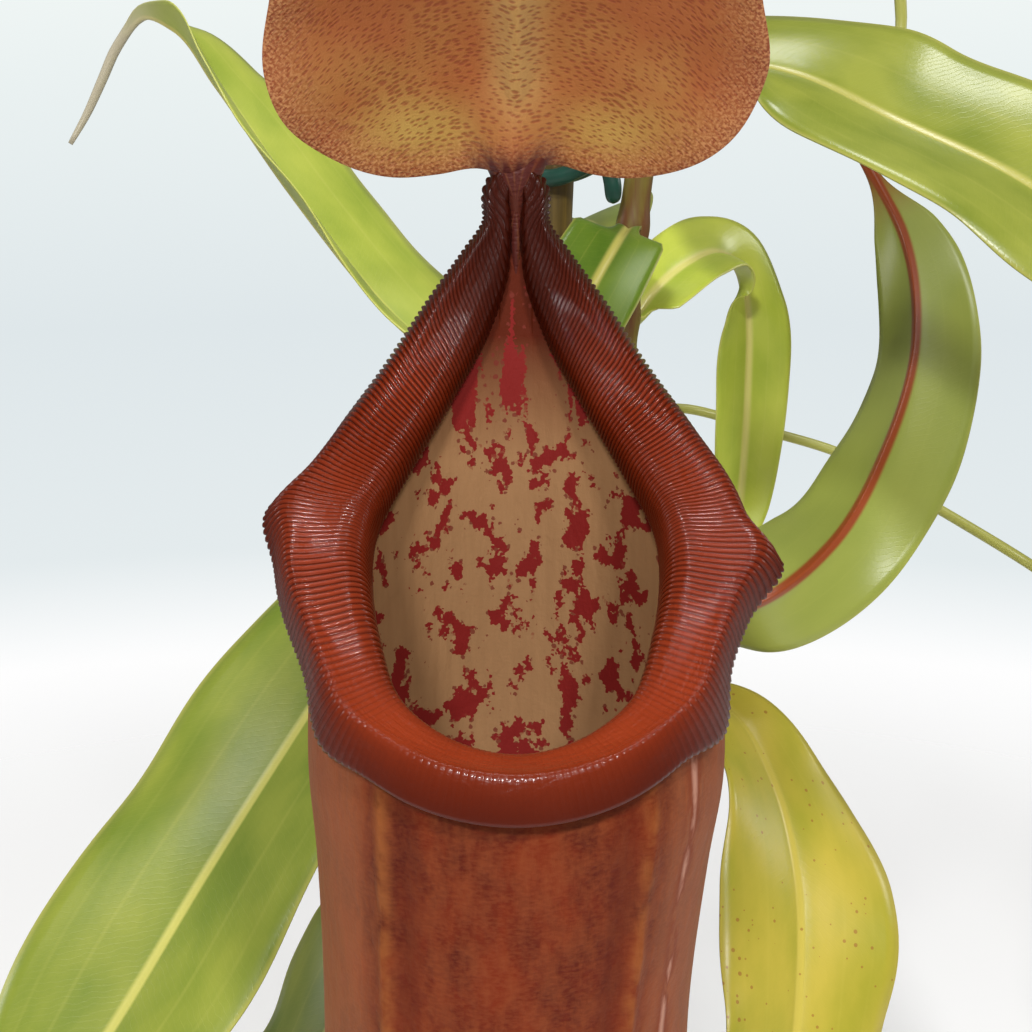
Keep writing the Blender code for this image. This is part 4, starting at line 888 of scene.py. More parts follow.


# Each collar's colours: the lit red, its painted shade, and the painted shade of the hem
collar_skin = collar_material("lacquered_red_rib", "#8e3519", "#6e2006", "#3a0b03")
rings, values = collar_rings(MAIN, 256)
solid("mouth_collar", [(rings, values, True)], collar_skin, ["pitcher_collar"])
side_skin = collar_material("lacquered_young_rib", "#b5482a", "#7a2a18", "#5c2a20")
rings, values = collar_rings(SIDE, 150, 40)
solid("side_mouth_collar", [(rings, values, True)], side_skin, ["side_pitcher_collar"])

# %% [markdown]
# ## The tube
#
# Below the rim the pitcher is a thin-walled tube that swells towards its foot and then
# curls up into its tail. Two ribs run down its front. The wall is worked out as one
# surface that goes down the middle of it, and its two faces lie half a millimetre to
# either side.

# %% Tube shape
TUBE = np.array([(0.0, 0.2, -30, 24.2), (-0.4, 0.2, -42, 23.2), (-1.1, 0.3, -62, 22.1),
                 (-1.3, 0.6, -82, 22.3), (-1.2, 1.2, -100, 23.5), (-0.8, 2.6, -116, 23.4),
                 (-0.4, 5.2, -130, 20.4), (-0.2, 9.2, -141, 15.4), (0.0, 14.0, -149, 10.2),
                 (0.0, 19.4, -154.5, 6.2), (0.0, 25.0, -158, 3.6), (0.0, 31.0, -159.4, 2.4)])
RIB_BEARING, TUBE_WALL = 36, 1.0


def tube_rings(pitcher, around=240, down=170):
    """Rings of the tube's wall: up the inside from its floor, then down the outside.

    Row 0 is the rim. A ring lower down is centre + radius (sin t side + cos t front).
    Relief on the outside: two ribs about 0.6 exp(-((|t| - 36) / 2.4)^2) mm high, with
    lumps along them and a groove beside each, and nine low folds.
    """
    size = pitcher["scale"]
    table, _ = rim_table(size)
    pick = (np.arange(around) * RIM_STEPS / around).astype(int)
    rim = table[pick, :3] - 0.8 * table[pick, 3:6]
    left = np.abs(table[:RIM_STEPS // 2, 14] + 156).argmin()
    turn = np.where(pick < left, -180 + 24 * pick / left,
                    np.where(pick > RIM_STEPS - left, 180 - 24 * (RIM_STEPS - pick) / left, table[pick, 14]))
    angle = np.radians(turn)
    tube = TUBE * size
    tangent = unit(np.gradient(tube[:, :3], axis=0))
    tangent[:3] = (0, 0, -1)
    front = unit(np.cross(tangent, (1.0, 0, 0)))
    spokes = np.sin(angle)[:, None] * np.array((1.0, 0, 0)) + np.cos(angle)[:, None] * front[:, None]
    lower = tube[:, None, :3] + tube[:, 3, None, None] * spokes
    rows = np.concatenate([rim[None], 0.5 * (rim + lower[0])[None], lower])
    at = np.linspace(0, 1, down) ** 0.92 * (len(rows) - 1)
    wall = np.tensordot(weights(len(rows), at), rows, axes=1)
    way = np.append(0, np.cumsum(np.linalg.norm(np.diff(wall[:, around // 2], axis=0), axis=1)))
    out = normals(wall)

    fade = np.clip(way / 9, 0, 1) * np.clip((way[-1] - way) / 50, 0, 1)
    beside = np.abs(turn) - RIB_BEARING
    lumps = 0.8 + 0.35 * np.sin(way / 2.1) * np.sin(way / 5.3 + 1)
    relief = 0.75 * size * fade[:, None] * lumps[:, None] * np.exp(-(beside / 2.4) ** 2)
    relief = relief - 0.30 * size * fade[:, None] * np.exp(-((beside + 6) / 3.5) ** 2)
    relief = relief + 0.12 * size * fade[:, None] * np.cos(angle * 9 + 0.02 * way[:, None])
    relief = relief + 0.20 * size * fade[:, None] * np.sin(way[:, None] / 13 + angle * 2)
    outer = wall + out * (TUBE_WALL / 2 + relief)[..., None]
    inner = wall - out * TUBE_WALL / 2
    floor = np.abs(at - 9).argmin()
    rings = np.concatenate([inner[floor::-1], outer])
    depth = np.concatenate([way[floor::-1], way])
    inside = np.concatenate([np.ones(floor + 1), np.zeros(down)])
    place = np.stack(np.broadcast_arrays(turn[None], depth[:, None], rings[..., 2] / size), -1)
    return placed(rings, pitcher), {"tube": place, "inside": inside[:, None]}


# %% [markdown]
# ## Tube finish
#
# Outside, the tube is velvety: very short rusty hairs catch the light at its edges, and a
# paler colour on its sides is painted sheen.
# Red-brown blotches run down it, and its two ribs are orange. Inside, the upper wall is
# a dull waxy tan with crisp crimson blotches, whose edges follow the cells of the skin,
# so the noise that draws them is read at the centre of each small cell.

# %% Tube material
def tube_material(name, pale, light, mid, dark, rib, wax, blotch):
    """Velvety plant skin outside, whose nap looks soft to the touch, and matt wax inside."""
    material, tree, shader = new_material(name, Roughness=0.6, IOR=1.4, Specular_IOR_Level=0.2,
                                          Sheen_Weight=0.1, Sheen_Roughness=0.35)
    shader.inputs["Sheen Tint"].default_value = linear("#e0a888")
    place = add_node(tree, "Attribute", attribute_name="tube").outputs["Vector"]
    turn, down, height = add_node(tree, "SeparateXYZ", {0: place}).outputs
    inside = add_node(tree, "Attribute", attribute_name="inside").outputs["Fac"]
    inside = add_node(tree, "Math", {0: inside, 1: 0.5}, operation="GREATER_THAN")
    where = add_node(tree, "TexCoord").outputs["Object"]
    in_mm = add_node(tree, "Mapping", {"Vector": where, "Scale": (1000, 1000, 1000)})

    # Outside: long blotches about 7 mm wide, streaks 1.5 mm wide, and a fine nap across them
    long = add_node(tree, "Mapping", {"Vector": where, "Scale": (1000, 1000, 550)})
    blotches = add_node(tree, "TexNoise", {"Vector": long, "Scale": 1 / 8, "Detail": 5.0,
                                           "Roughness": 0.62})
    blotches = add_node(tree, "MapRange", {0: blotches, 1: 0.40, 2: 0.62})
    streaks = add_node(tree, "Mapping", {"Vector": where, "Scale": (1000, 1000, 420)})
    streaks = add_node(tree, "TexNoise", {"Vector": streaks, "Scale": 1 / 1.8, "Detail": 6.0})
    streaks = add_node(tree, "MapRange", {0: streaks, 1: 0.42, 2: 0.62})
    nap = add_node(tree, "Mapping", {"Vector": where, "Rotation": (0.0, 0.35, 0.0),
                                     "Scale": (1000, 1000, 2000)})
    nap = add_node(tree, "TexNoise", {"Vector": nap, "Scale": 1 / 0.8, "Detail": 4.0})
    skin = add_node(tree, "Mix", {0: blotches, 6: dark, 7: mid}, data_type="RGBA")
    streaked = add_node(tree, "Math", {0: streaks, 1: 0.38}, operation="MULTIPLY")
    napped = add_node(tree, "MapRange", {0: nap, 1: 0.38, 2: 0.66, 3: 0.0, 4: 0.40})
    for share in (streaked, napped):
        skin = add_node(tree, "Mix", {0: share, 6: skin, 7: light}, data_type="RGBA")

    # The two front ribs, the redder skin beside them, and a painted sheen: paler skin beyond the ribs,
    # towards the sides
    bearing = add_node(tree, "Math", {0: turn}, operation="ABSOLUTE")
    beside = add_node(tree, "Math", {0: bearing, 1: RIB_BEARING}, operation="SUBTRACT")
    near = add_node(tree, "Math", {0: beside}, operation="ABSOLUTE")
    line = add_node(tree, "MapRange", {0: near, 1: 0.0, 2: 4.0, 3: 0.75, 4: 0.0},
                    interpolation_type="SMOOTHSTEP")
    broken = add_node(tree, "TexNoise", {"Vector": in_mm, "Scale": 1 / 3.2, "Detail": 3.0})
    broken = add_node(tree, "MapRange", {0: broken, 1: 0.38, 2: 0.62, 3: 0.1, 4: 0.85})
    line = add_node(tree, "Math", {0: line, 1: broken}, operation="MULTIPLY")
    side = add_node(tree, "MapRange", {0: beside, 1: 0.0, 2: 14.0, 3: 0.0, 4: 0.5},
                    interpolation_type="SMOOTHSTEP")
    flush = add_node(tree, "Math", {0: beside, 1: 7.0}, operation="ADD")
    flush = add_node(tree, "Math", {0: flush}, operation="ABSOLUTE")
    flush = add_node(tree, "MapRange", {0: flush, 1: 1.0, 2: 7.0, 3: 0.40, 4: 0.0},
                     interpolation_type="SMOOTHSTEP")

    # A long pale scrape on the right side, broken up by noise, with redder skin about it
    scrape = add_node(tree, "Math", {0: turn, 1: 53.0}, operation="SUBTRACT")
    scrape = add_node(tree, "Math", {0: scrape}, operation="ABSOLUTE")
    sore = add_node(tree, "MapRange", {0: scrape, 1: 1.0, 2: 7.0, 3: 0.6, 4: 0.0},
                    interpolation_type="SMOOTHSTEP")
    scrape = add_node(tree, "MapRange", {0: scrape, 1: 0.4, 2: 2.0, 3: 0.7, 4: 0.0})
    torn = add_node(tree, "Mapping", {"Vector": where, "Scale": (1000, 1000, 400)})
    torn = add_node(tree, "TexNoise", {"Vector": torn, "Scale": 1 / 2.2, "Detail": 4.0})
    pale_share = add_node(tree, "MapRange", {0: torn, 1: 0.50, 2: 0.62})
    red_share = add_node(tree, "MapRange", {0: torn, 1: 0.40, 2: 0.50})
    sore = add_node(tree, "Math", {0: sore, 1: red_share}, operation="MULTIPLY")
    scrape = add_node(tree, "Math", {0: scrape, 1: pale_share}, operation="MULTIPLY")
    for share, over in ((side, pale), (flush, dark), (line, rib), (sore, mid), (scrape, "#c0907c")):
        skin = add_node(tree, "Mix", {0: share, 6: skin, 7: over}, data_type="RGBA")

    # Inside: tan wax with vertical grain, and crimson blotches with edges stepped by 0.35 mm cells
    cells = add_node(tree, "TexVoronoi", {"Vector": in_mm, "Scale": 1 / 0.35, "Randomness": 0.9})
    east, north, up = add_node(tree, "SeparateXYZ", {0: cells.outputs["Position"]}).outputs
    low = add_node(tree, "Math", {0: up, 1: 341.0}, operation="MINIMUM")
    high = add_node(tree, "Math", {0: low, 1: 3.1, 2: up}, operation="MULTIPLY_ADD")
    high = add_node(tree, "Math", {0: high, 1: 0.17}, operation="MULTIPLY")
    grown = add_node(tree, "CombineXYZ", {0: east, 1: north, 2: high})
    large = add_node(tree, "TexNoise", {"Vector": grown, "Scale": 1 / 4.0, "Detail": 1.0})
    small = add_node(tree, "TexNoise", {"Vector": grown, "Scale": 1 / 1.3, "Detail": 1.0})
    stain = add_node(tree, "Math", {0: small, 1: 0.55, 2: large}, operation="MULTIPLY_ADD")
    more = add_node(tree, "MapRange", {0: height, 1: 4.0, 2: 15.0, 3: 0.0, 4: 0.05})
    stain = add_node(tree, "Math", {0: stain, 1: more}, operation="ADD")
    about = add_node(tree, "MapRange", {0: stain, 1: 0.70, 2: 0.84})
    stain = add_node(tree, "MapRange", {0: stain, 1: 0.860, 2: 0.868})
    fresh = add_node(tree, "MapRange", {0: down, 1: 60.0, 2: 80.0, 3: 1.0, 4: 0.0})
    stain = add_node(tree, "Math", {0: stain, 1: fresh}, operation="MULTIPLY")
    grain = add_node(tree, "Mapping", {"Vector": where, "Scale": (1000, 1000, 60)})
    grain = add_node(tree, "TexNoise", {"Vector": grain, "Scale": 1 / 0.9, "Detail": 4.0})
    grain = add_node(tree, "MapRange", {0: grain, 1: 0.3, 2: 0.7, 3: 0.0, 4: 0.25})
    tan = add_node(tree, "Mix", {0: grain, 6: wax, 7: "#7e5a3a"}, data_type="RGBA")
    # Painted shade: the inner wall darkens towards its top, under the neck and the lid
    apex_shade = add_node(tree, "MapRange", {0: height, 1: 1.0, 2: 17.0, 3: 0.0, 4: 1.0})
    dots = add_node(tree, "TexVoronoi", {"Vector": in_mm, "Scale": 1 / 1.2, "Randomness": 1.0})
    pepper = add_node(tree, "Math", {0: about, 1: 0.34}, operation="MULTIPLY")
    pepper = add_node(tree, "Math", {0: pepper, 1: dots}, operation="SUBTRACT")
    pepper = add_node(tree, "MapRange", {0: pepper, 1: 0.0, 2: 0.04, 3: 0.0, 4: 0.85})
    for share, over in ((apex_shade, "#571c07"), (pepper, "#702c22"), (stain, blotch)):
        tan = add_node(tree, "Mix", {0: share, 6: tan, 7: over}, data_type="RGBA")
    colour = add_node(tree, "Mix", {0: inside, 6: skin, 7: tan}, data_type="RGBA")
    tree.links.new(colour.outputs[2], shader.inputs["Base Color"])

    # The nap and the streaks are felt as well as seen
    relief = add_node(tree, "Math", {0: nap, 1: 0.6, 2: streaks}, operation="MULTIPLY_ADD")
    bump = add_node(tree, "Bump", {"Height": relief, "Strength": 0.5, "Distance": 0.12 * MM})
    tree.links.new(bump.outputs[0], shader.inputs["Normal"])
    return material


# The first colour is the painted sheen on the tube's sides
tube_skin = tube_material("velvet_red_brown_skin", "#9a5c3a", "#7d3e1e", "#6b2206", "#4a1305", "#905428",
                          "#9e7650", "#7c1e1b")
rings, values = tube_rings(MAIN)
solid("large_tube", [(rings, values, False)], tube_skin, ["pitcher_tube"])
rings, values = tube_rings(SIDE, 200, 130)
solid("side_tube", [(rings, values, False)], tube_skin, ["side_pitcher_tube"])

# %% [markdown]
# ## The lid
#
# The lid is a heart-shaped flap that stands on the neck and arches over the mouth. Its
# underside bears nectar glands, seen as small brown dashes, thicker towards the keel.
# It is a grid of rings about a point inside the heart: one face going out, one coming
# back, so its margin is a thin rounded edge. Below it a narrow tongue fills the groove
# between the collar's two ends and fans out into the lid's root.

# %% Lid shape
LID_OUTLINE = [(0, 37.0), (45, 30.5), (90, 28.0), (110, 31.8), (124, 33.1), (140, 31.8), (150, 29.9),
               (159, 27.4), (170, 24.4), (180, 23.8)]
LID_CENTRE, LID_FOOT, LID_LEAN, LID_LENGTH = 24.0, (27.2, 38.5), (24.0, 64.0), 62.0
# Height, half width and front face of the tongue under the lid
TONGUE = [(24, 0.4, 25.6), (28, 0.9, 25.2), (32, 1.1, 24.9), (34.5, 1.5, 24.2), (36, 2.6, 23.8),
          (37.5, 3.5, 23.7), (39, 3.9, 23.8), (40.5, 3.4, 24.4)]
TONGUE_MIDDLE, TONGUE_ROWS = 26.6, 44


def lid_rings(pitcher, sides=220, steps=46):
    """Rings of the lid: out over the top face and back under it.

    At angle t and share s of the heart's reach r(t), x = s r sin t and the way along the
    lid is u = 24 + s r cos t. The lid's middle line is an arc whose lean grows evenly
    with u, and the face sinks by 2.2 (x / 31)^2 to each side. The margin is waved.
    """
    size = pitcher["scale"]
    angle = np.arange(sides) * 2 * np.pi / sides
    heart, reach = np.array(LID_OUTLINE + [(-at, r) for at, r in LID_OUTLINE[-2:0:-1]], float).T
    heart = np.radians(heart)
    knots = np.column_stack([reach * np.sin(heart), reach * np.cos(heart), 0 * reach])
    line = smooth(knots, np.arange(1600) / 1600, closed=True)
    bearing = np.arctan2(line[:, 0], line[:, 1]) % (2 * np.pi)
    order = np.argsort(bearing)
    reach = np.interp(angle, bearing[order], np.linalg.norm(line[order], axis=1), period=2 * np.pi)
    out = np.sin(np.linspace(0.03, np.pi / 2, steps))
    share = np.concatenate([out, out[-1:], out[::-1]])[:, None]
    under = np.concatenate([np.zeros(steps), [0.5], np.ones(steps)])[:, None]
    x = share * reach * np.sin(angle)
    along = LID_CENTRE + share * reach * np.cos(angle)
    lean = math.radians(LID_LEAN[0])
    growth = math.radians(LID_LEAN[1] - LID_LEAN[0]) / LID_LENGTH
    now = lean + growth * along
    y = LID_FOOT[0] - (math.cos(lean) - np.cos(now)) / growth
    z = LID_FOOT[1] + (np.sin(now) - math.sin(lean)) / growth
    edge = np.clip((1 - share) * reach / 1.6, 0, 1)
    thick = (0.14 + 0.36 * np.sqrt(edge)) / size
    keel = 1.5 * np.exp(-(x / 1.8) ** 2) * np.clip((52 - along) / 30, 0, 1) * np.clip((along + 2) / 6, 0, 1)
    waves = share ** 3 * (0.45 * np.sin(7 * angle + 0.6) + 0.25 * np.sin(13 * angle))
    veins = 0.10 * np.sin(np.abs(x) * 1.15 - along * 0.55) * share * (1 - share ** 4)
    fan = 3.0 * np.exp(-(x / 3.8) ** 2) * smoothstep((15 - along) / 13)
    rise = -2.2 * (x / 31) ** 2 + waves + np.where(under == 0, thick, np.where(
        under == 1, -thick - np.maximum(keel, fan) - veins, -0.5 * fan))
    rings = np.stack(np.broadcast_arrays(x, y + rise * np.cos(now), z + rise * np.sin(now)), -1) * size
    lid = np.stack(np.broadcast_arrays(x, along, share), -1)

    # The tongue is an upright round bar, wider towards its top
    heights, widths, fronts = np.array(TONGUE).T
    high = np.linspace(heights[0], heights[-1], TONGUE_ROWS)
    wide = curve(high, heights, widths)[:, None]
    front = curve(high, heights, fronts)[:, None]
    high = high[:, None]
    turn = np.arange(32) * 2 * np.pi / 32
    sideways, forward = wide * np.cos(turn), TONGUE_MIDDLE + (TONGUE_MIDDLE - front) * np.sin(turn)
    tongue = np.stack(np.broadcast_arrays(sideways, forward, high), -1)
    stalk = np.stack(np.broadcast_arrays(sideways, high - LID_FOOT[1], 0 * wide), -1)
    return [(placed(rings, pitcher), {"lid": lid, "underside": under}, False),
            (placed(tongue * size, pitcher), {"lid": stalk, "underside": 1 + 0 * high}, False)]


# %% [markdown]
# ## Lid finish
#
# Thin leathery tissue, orange-tan with a yellow middle and red-brown glands below, and
# plain greenish orange above. The glands are dashes drawn out away from the keel, so
# their cells are stretched sideways and bent up towards the margin.

# %% Lid material
def lid_material(name):
    """Leathery flap: glands as stretched cells on clouded orange, which give it its freckles."""
    material, tree, shader = new_material(name, Roughness=0.55, IOR=1.4, Sheen_Weight=0.05)
    place = add_node(tree, "Attribute", attribute_name="lid").outputs["Vector"]
    x, along, share = add_node(tree, "SeparateXYZ", {0: place}).outputs
    under = add_node(tree, "Attribute", attribute_name="underside").outputs["Fac"]
    off = add_node(tree, "Math", {0: x}, operation="ABSOLUTE")
    flat = add_node(tree, "CombineXYZ", {0: x, 1: along})
    cloud = add_node(tree, "TexNoise", {"Vector": flat, "Scale": 1 / 16, "Detail": 3.0})
    cloud = add_node(tree, "MapRange", {0: cloud, 1: 0.42, 2: 0.66})
    base = add_node(tree, "Mix", {0: cloud, 6: "#995527", 7: "#9e6b33"}, data_type="RGBA")

    # Yellow up the middle, and a yellower patch low in each lobe
    middle = add_node(tree, "MapRange", {0: off, 1: 0.5, 2: 5.5, 3: 0.8, 4: 0.0},
                      interpolation_type="SMOOTHSTEP")
    above = add_node(tree, "MapRange", {0: along, 1: 3.0, 2: 11.0})
    middle = add_node(tree, "Math", {0: middle, 1: above}, operation="MULTIPLY")
    base = add_node(tree, "Mix", {0: middle, 6: base, 7: "#ad874c"}, data_type="RGBA")
    aside = add_node(tree, "Math", {0: off, 1: 0.125, 2: -1.5}, operation="MULTIPLY_ADD")
    upward = add_node(tree, "Math", {0: along, 1: 0.21, 2: -0.9}, operation="MULTIPLY_ADD")
    lobe = add_node(tree, "CombineXYZ", {0: aside, 1: upward})
    lobe = add_node(tree, "VectorMath", {0: lobe}, operation="LENGTH")
    lobe = add_node(tree, "MapRange", {0: lobe, 1: 0.0, 2: 1.6, 3: 0.62, 4: 0.0},
                    interpolation_type="SMOOTHSTEP")
    base = add_node(tree, "Mix", {0: lobe, 6: base, 7: "#b59a4c"}, data_type="RGBA")

    # Glands: cells twice as long sideways, larger in some places than in others
    bend = add_node(tree, "Math", {0: off, 1: off}, operation="MULTIPLY")
    bend = add_node(tree, "Math", {0: bend, 1: 1 / 55, 2: along}, operation="MULTIPLY_ADD")
    across = add_node(tree, "Math", {0: x, 1: 0.5}, operation="MULTIPLY")
    drawn = add_node(tree, "CombineXYZ", {0: across, 1: bend})
    glands = add_node(tree, "TexVoronoi", {"Vector": drawn, "Scale": 1 / 0.62, "Randomness": 0.9},
                      voronoi_dimensions="2D")
    rare = add_node(tree, "TexNoise", {"Vector": flat, "Scale": 1 / 6, "Detail": 2.0})
    size = add_node(tree, "MapRange", {0: rare, 1: 0.35, 2: 0.65, 3: 0.27, 4: 0.48})
    dash = add_node(tree, "Math", {0: size, 1: glands}, operation="SUBTRACT")
    dash = add_node(tree, "MapRange", {0: dash, 1: 0.0, 2: 0.26, 3: 0.0, 4: 0.64})
    dashed = add_node(tree, "Math", {0: dash, 1: under}, operation="MULTIPLY")
    spotted = add_node(tree, "Mix", {0: dashed, 6: base, 7: "#7b3017"}, data_type="RGBA")

    # A mottled, ruddy margin, and a dark root that goes up the lid in rays: the rays are the lid's own
    # streaks, and the dark of the root, on the tongue in the groove under the lid, is painted shade
    rim = add_node(tree, "MapRange", {0: share, 1: 0.78, 2: 1.0, 3: 0.0, 4: 0.7})
    ruddy = add_node(tree, "TexNoise", {"Vector": flat, "Scale": 1 / 0.4, "Detail": 2.0})
    ruddy = add_node(tree, "MapRange", {0: ruddy, 1: 0.42, 2: 0.62})
    ruddy = add_node(tree, "Mix", {0: ruddy, 6: "#7d3419", 7: "#c08a5c"}, data_type="RGBA")
    spotted = add_node(tree, "Mix", {0: rim, 6: spotted, 7: ruddy}, data_type="RGBA")
    root = add_node(tree, "MapRange", {0: along, 1: -0.5, 2: 5.0, 3: 1.0, 4: 0.0},
                    interpolation_type="SMOOTHSTEP")
    close = add_node(tree, "MapRange", {0: off, 1: 3.0, 2: 7.0, 3: 1.0, 4: 0.0})
    root = add_node(tree, "Math", {0: root, 1: close}, operation="MULTIPLY")
    spread = add_node(tree, "Math", {0: along, 1: 5.0}, operation="ADD")
    spread = add_node(tree, "Math", {0: x, 1: spread}, operation="ARCTAN2")
    spread = add_node(tree, "Math", {0: spread, 1: 24.0}, operation="MULTIPLY")
    spread = add_node(tree, "Math", {0: spread}, operation="SINE")
    spread = add_node(tree, "MapRange", {0: spread, 1: -1.0, 2: 1.0, 3: 0.85, 4: 1.35})
    root = add_node(tree, "Math", {0: root, 1: spread}, operation="MULTIPLY", use_clamp=True)
    spotted = add_node(tree, "Mix", {0: root, 6: spotted, 7: "#48130a"}, data_type="RGBA")
    tree.links.new(spotted.outputs[2], shader.inputs["Base Color"])

    # The dashes are sunk a little, among fine pores
    pores = add_node(tree, "TexNoise", {"Vector": flat, "Scale": 1 / 0.35, "Detail": 2.0})
    relief = add_node(tree, "Math", {0: dash, 1: -1.2, 2: pores}, operation="MULTIPLY_ADD")
    bump = add_node(tree, "Bump", {"Height": relief, "Strength": 0.5, "Distance": 0.12 * MM})
    tree.links.new(bump.outputs[0], shader.inputs["Normal"])
    return material


lid_skin = lid_material("gland_dotted_flap")
solid("heart_lid", lid_rings(MAIN), lid_skin, ["pitcher_lid"])
solid("side_heart_lid", lid_rings(SIDE, 160, 30), lid_skin, ["side_pitcher_lid"])

# %% [markdown]
# ## The young pitcher
#
# A pitcher that hasn't opened yet is a closed green bulb with a blush of red. It uses
# the tube's skin with other colours, on rings whose radius swells and narrows again.

# %% Young pitcher
YOUNG = [(-80.6, -132.2, 168, 1.4), (-77, -129, 169, 2.8), (-73, -126, 174, 4.6), (-71, -124.5, 183, 5.6),
         (-70, -124, 195, 4.9), (-69.5, -124, 207, 4.2), (-70, -126, 216, 3.6), (-71.5, -131, 220, 1.0)]


def young_rings():
    """Radius from the table, with two front ribs and a crease round the closed lid."""
    line = smooth(YOUNG, np.linspace(0, 1, 110))
    share = np.linspace(0, 1, 110)[:, None]
    turn = np.arange(40) * 2 * np.pi / 40
    ribs = 0.25 * np.exp(-((np.abs(np.sin(turn / 2 - 0.5)) - 0.3) / 0.06) ** 2)
    crease = -0.35 * np.exp(-((share - 0.86) / 0.008) ** 2)
    radius = line[:, 3:] + ribs * np.clip((0.85 - share) * 8, 0, 1) * np.clip(share * 6, 0, 1) + crease
    rings = bar(line[:, :3], radius, 40, (0, -1.0, 0))
    depth = (1 - share) * 60
    return rings, {"tube": np.stack(np.broadcast_arrays(np.degrees(turn)[None], depth, 0 * depth), -1),
                   "inside": 0 * share}


young_skin = tube_material("velvet_young_skin", "#b9a458", "#b9a458", "#a5a148", "#9a5a34", "#b08a3c",
                           "#b8926a", "#96282f")
solid("young_bulb", [(*young_rings(), False)], young_skin, ["young_pitcher"])

# %% [markdown]
# ## The pot
#
# The pot is outside the photograph, so it is the plain black nursery pot that such a
# plant is grown in: moulded polypropylene, turned here from its profile, with a satin
# surface. A thin film of dust dulls it in patches, as on any pot from a greenhouse.

# %% Pot shape
POT_PROFILE = [(0.1, 2.2), (46, 2.2), (47.5, 2.3), (49.4, 3.3), (51.0, 5.0), (51.8, 6.6), (70.1, 123.6),
               (70.5, 124.5), (71.3, 125.0), (73.8, 125.0), (74.7, 124.6), (75.0, 123.6), (74.2, 109.2),
               (73.8, 108.4), (73.0, 108.0), (70.4, 106.7), (69.9, 105.4), (54.1, 4.0), (53.6, 2.2),
               (52.8, 0.9), (51.6, 0.15), (50.5, 0.0), (46, 0.0), (44.5, 0.5), (43, 0.5), (0.1, 0.5)]


def turned(profile, sides):
    """Rings about the upright axis: radius r(k) and height z(k) round the angle."""
    radius, height = np.array(profile, float).T[..., None]
    angle = np.arange(sides) * 2 * np.pi / sides
    return np.stack(np.broadcast_arrays(radius * np.cos(angle), radius * np.sin(angle), height), -1)


material, tree, shader = new_material("moulded_black_polypropylene", Roughness=0.42, IOR=1.49)
where = add_node(tree, "TexCoord").outputs["Object"]
dust = add_node(tree, "TexNoise", {"Vector": where, "Scale": 35.0, "Detail": 6.0, "Roughness": 0.6})
dust = add_node(tree, "MapRange", {0: dust, 1: 0.45, 2: 0.75, 3: 0.0, 4: 0.45})
paint = add_node(tree, "Mix", {0: dust, 6: "#1c1f1e", 7: "#3b3a36"}, data_type="RGBA")
tree.links.new(paint.outputs[2], shader.inputs["Base Color"])
rough = add_node(tree, "MapRange", {0: dust, 1: 0.0, 2: 0.45, 3: 0.36, 4: 0.62})
tree.links.new(rough.outputs[0], shader.inputs["Roughness"])
grit = add_node(tree, "TexNoise", {"Vector": where, "Scale": 1 / (0.7 * MM), "Detail": 2.0})
bump = add_node(tree, "Bump", {"Height": grit, "Strength": 0.15, "Distance": 0.05 * MM})
tree.links.new(bump.outputs[0], shader.inputs["Normal"])
pot = solid("nursery_pot", [(turned(POT_PROFILE, 144), {}, False)], material, ["pot"])
pot.data.set_sharp_from_angle(angle=math.radians(50))

# %% [markdown]
# ## The potting mix
#
# What shows in the pot is damp peat with bark, moss and white grit on it. The peat is
# one lumpy skin from the sum of a few sines. Chips, crumbs and grit start from one
# rounded box, which is stretched, turned and set down many times by seeded draws, and
# every strand of moss is a short bar that bends as it goes.

# %% Potting mix
MIX_LEVEL, MIX_RADIUS = 108, 66.7


def lumps(x, y):
    """Slow lumps, about 15 mm across: 1.2 times the sum of two crossed sines."""
    return 1.2 * (np.sin(0.21 * x + 1.3) * np.sin(0.26 * y - 0.4) + 0.6 * np.sin(0.43 * x - 0.37 * y))


def mix_rings():
    """Lumpy top: z = level + lumps + finer sines, in rings from the pot's floor up and in."""
    sides = 120
    angle = np.arange(sides) * 2 * np.pi / sides
    shares = np.linspace(1, 0.03, 34)
    radius = np.concatenate([[23, 46.6, 51.0], MIX_RADIUS * shares])
    height = np.concatenate([[2.5, 2.5, 7.2], np.full(34, float(MIX_LEVEL))])
    x, y = radius[:, None] * np.cos(angle), radius[:, None] * np.sin(angle)
    fine = np.sin(1.1 * x + 2 * np.sin(0.6 * y)) * np.sin(1.3 * y + 1.7 * np.sin(0.5 * x))
    top = (np.arange(len(radius)) > 2)[:, None]
    inside = np.minimum(np.clip((MIX_RADIUS - radius) / 4, 0, 1)[:, None] + 0.2, 1)
    z = height[:, None] + top * inside * (lumps(x, y) + 0.55 * fine)
    return np.stack([x, y, z], -1)


def mix_height(x, y):
    """The mix's surface at a place, without its finest ripple."""
    return MIX_LEVEL + lumps(x, y)


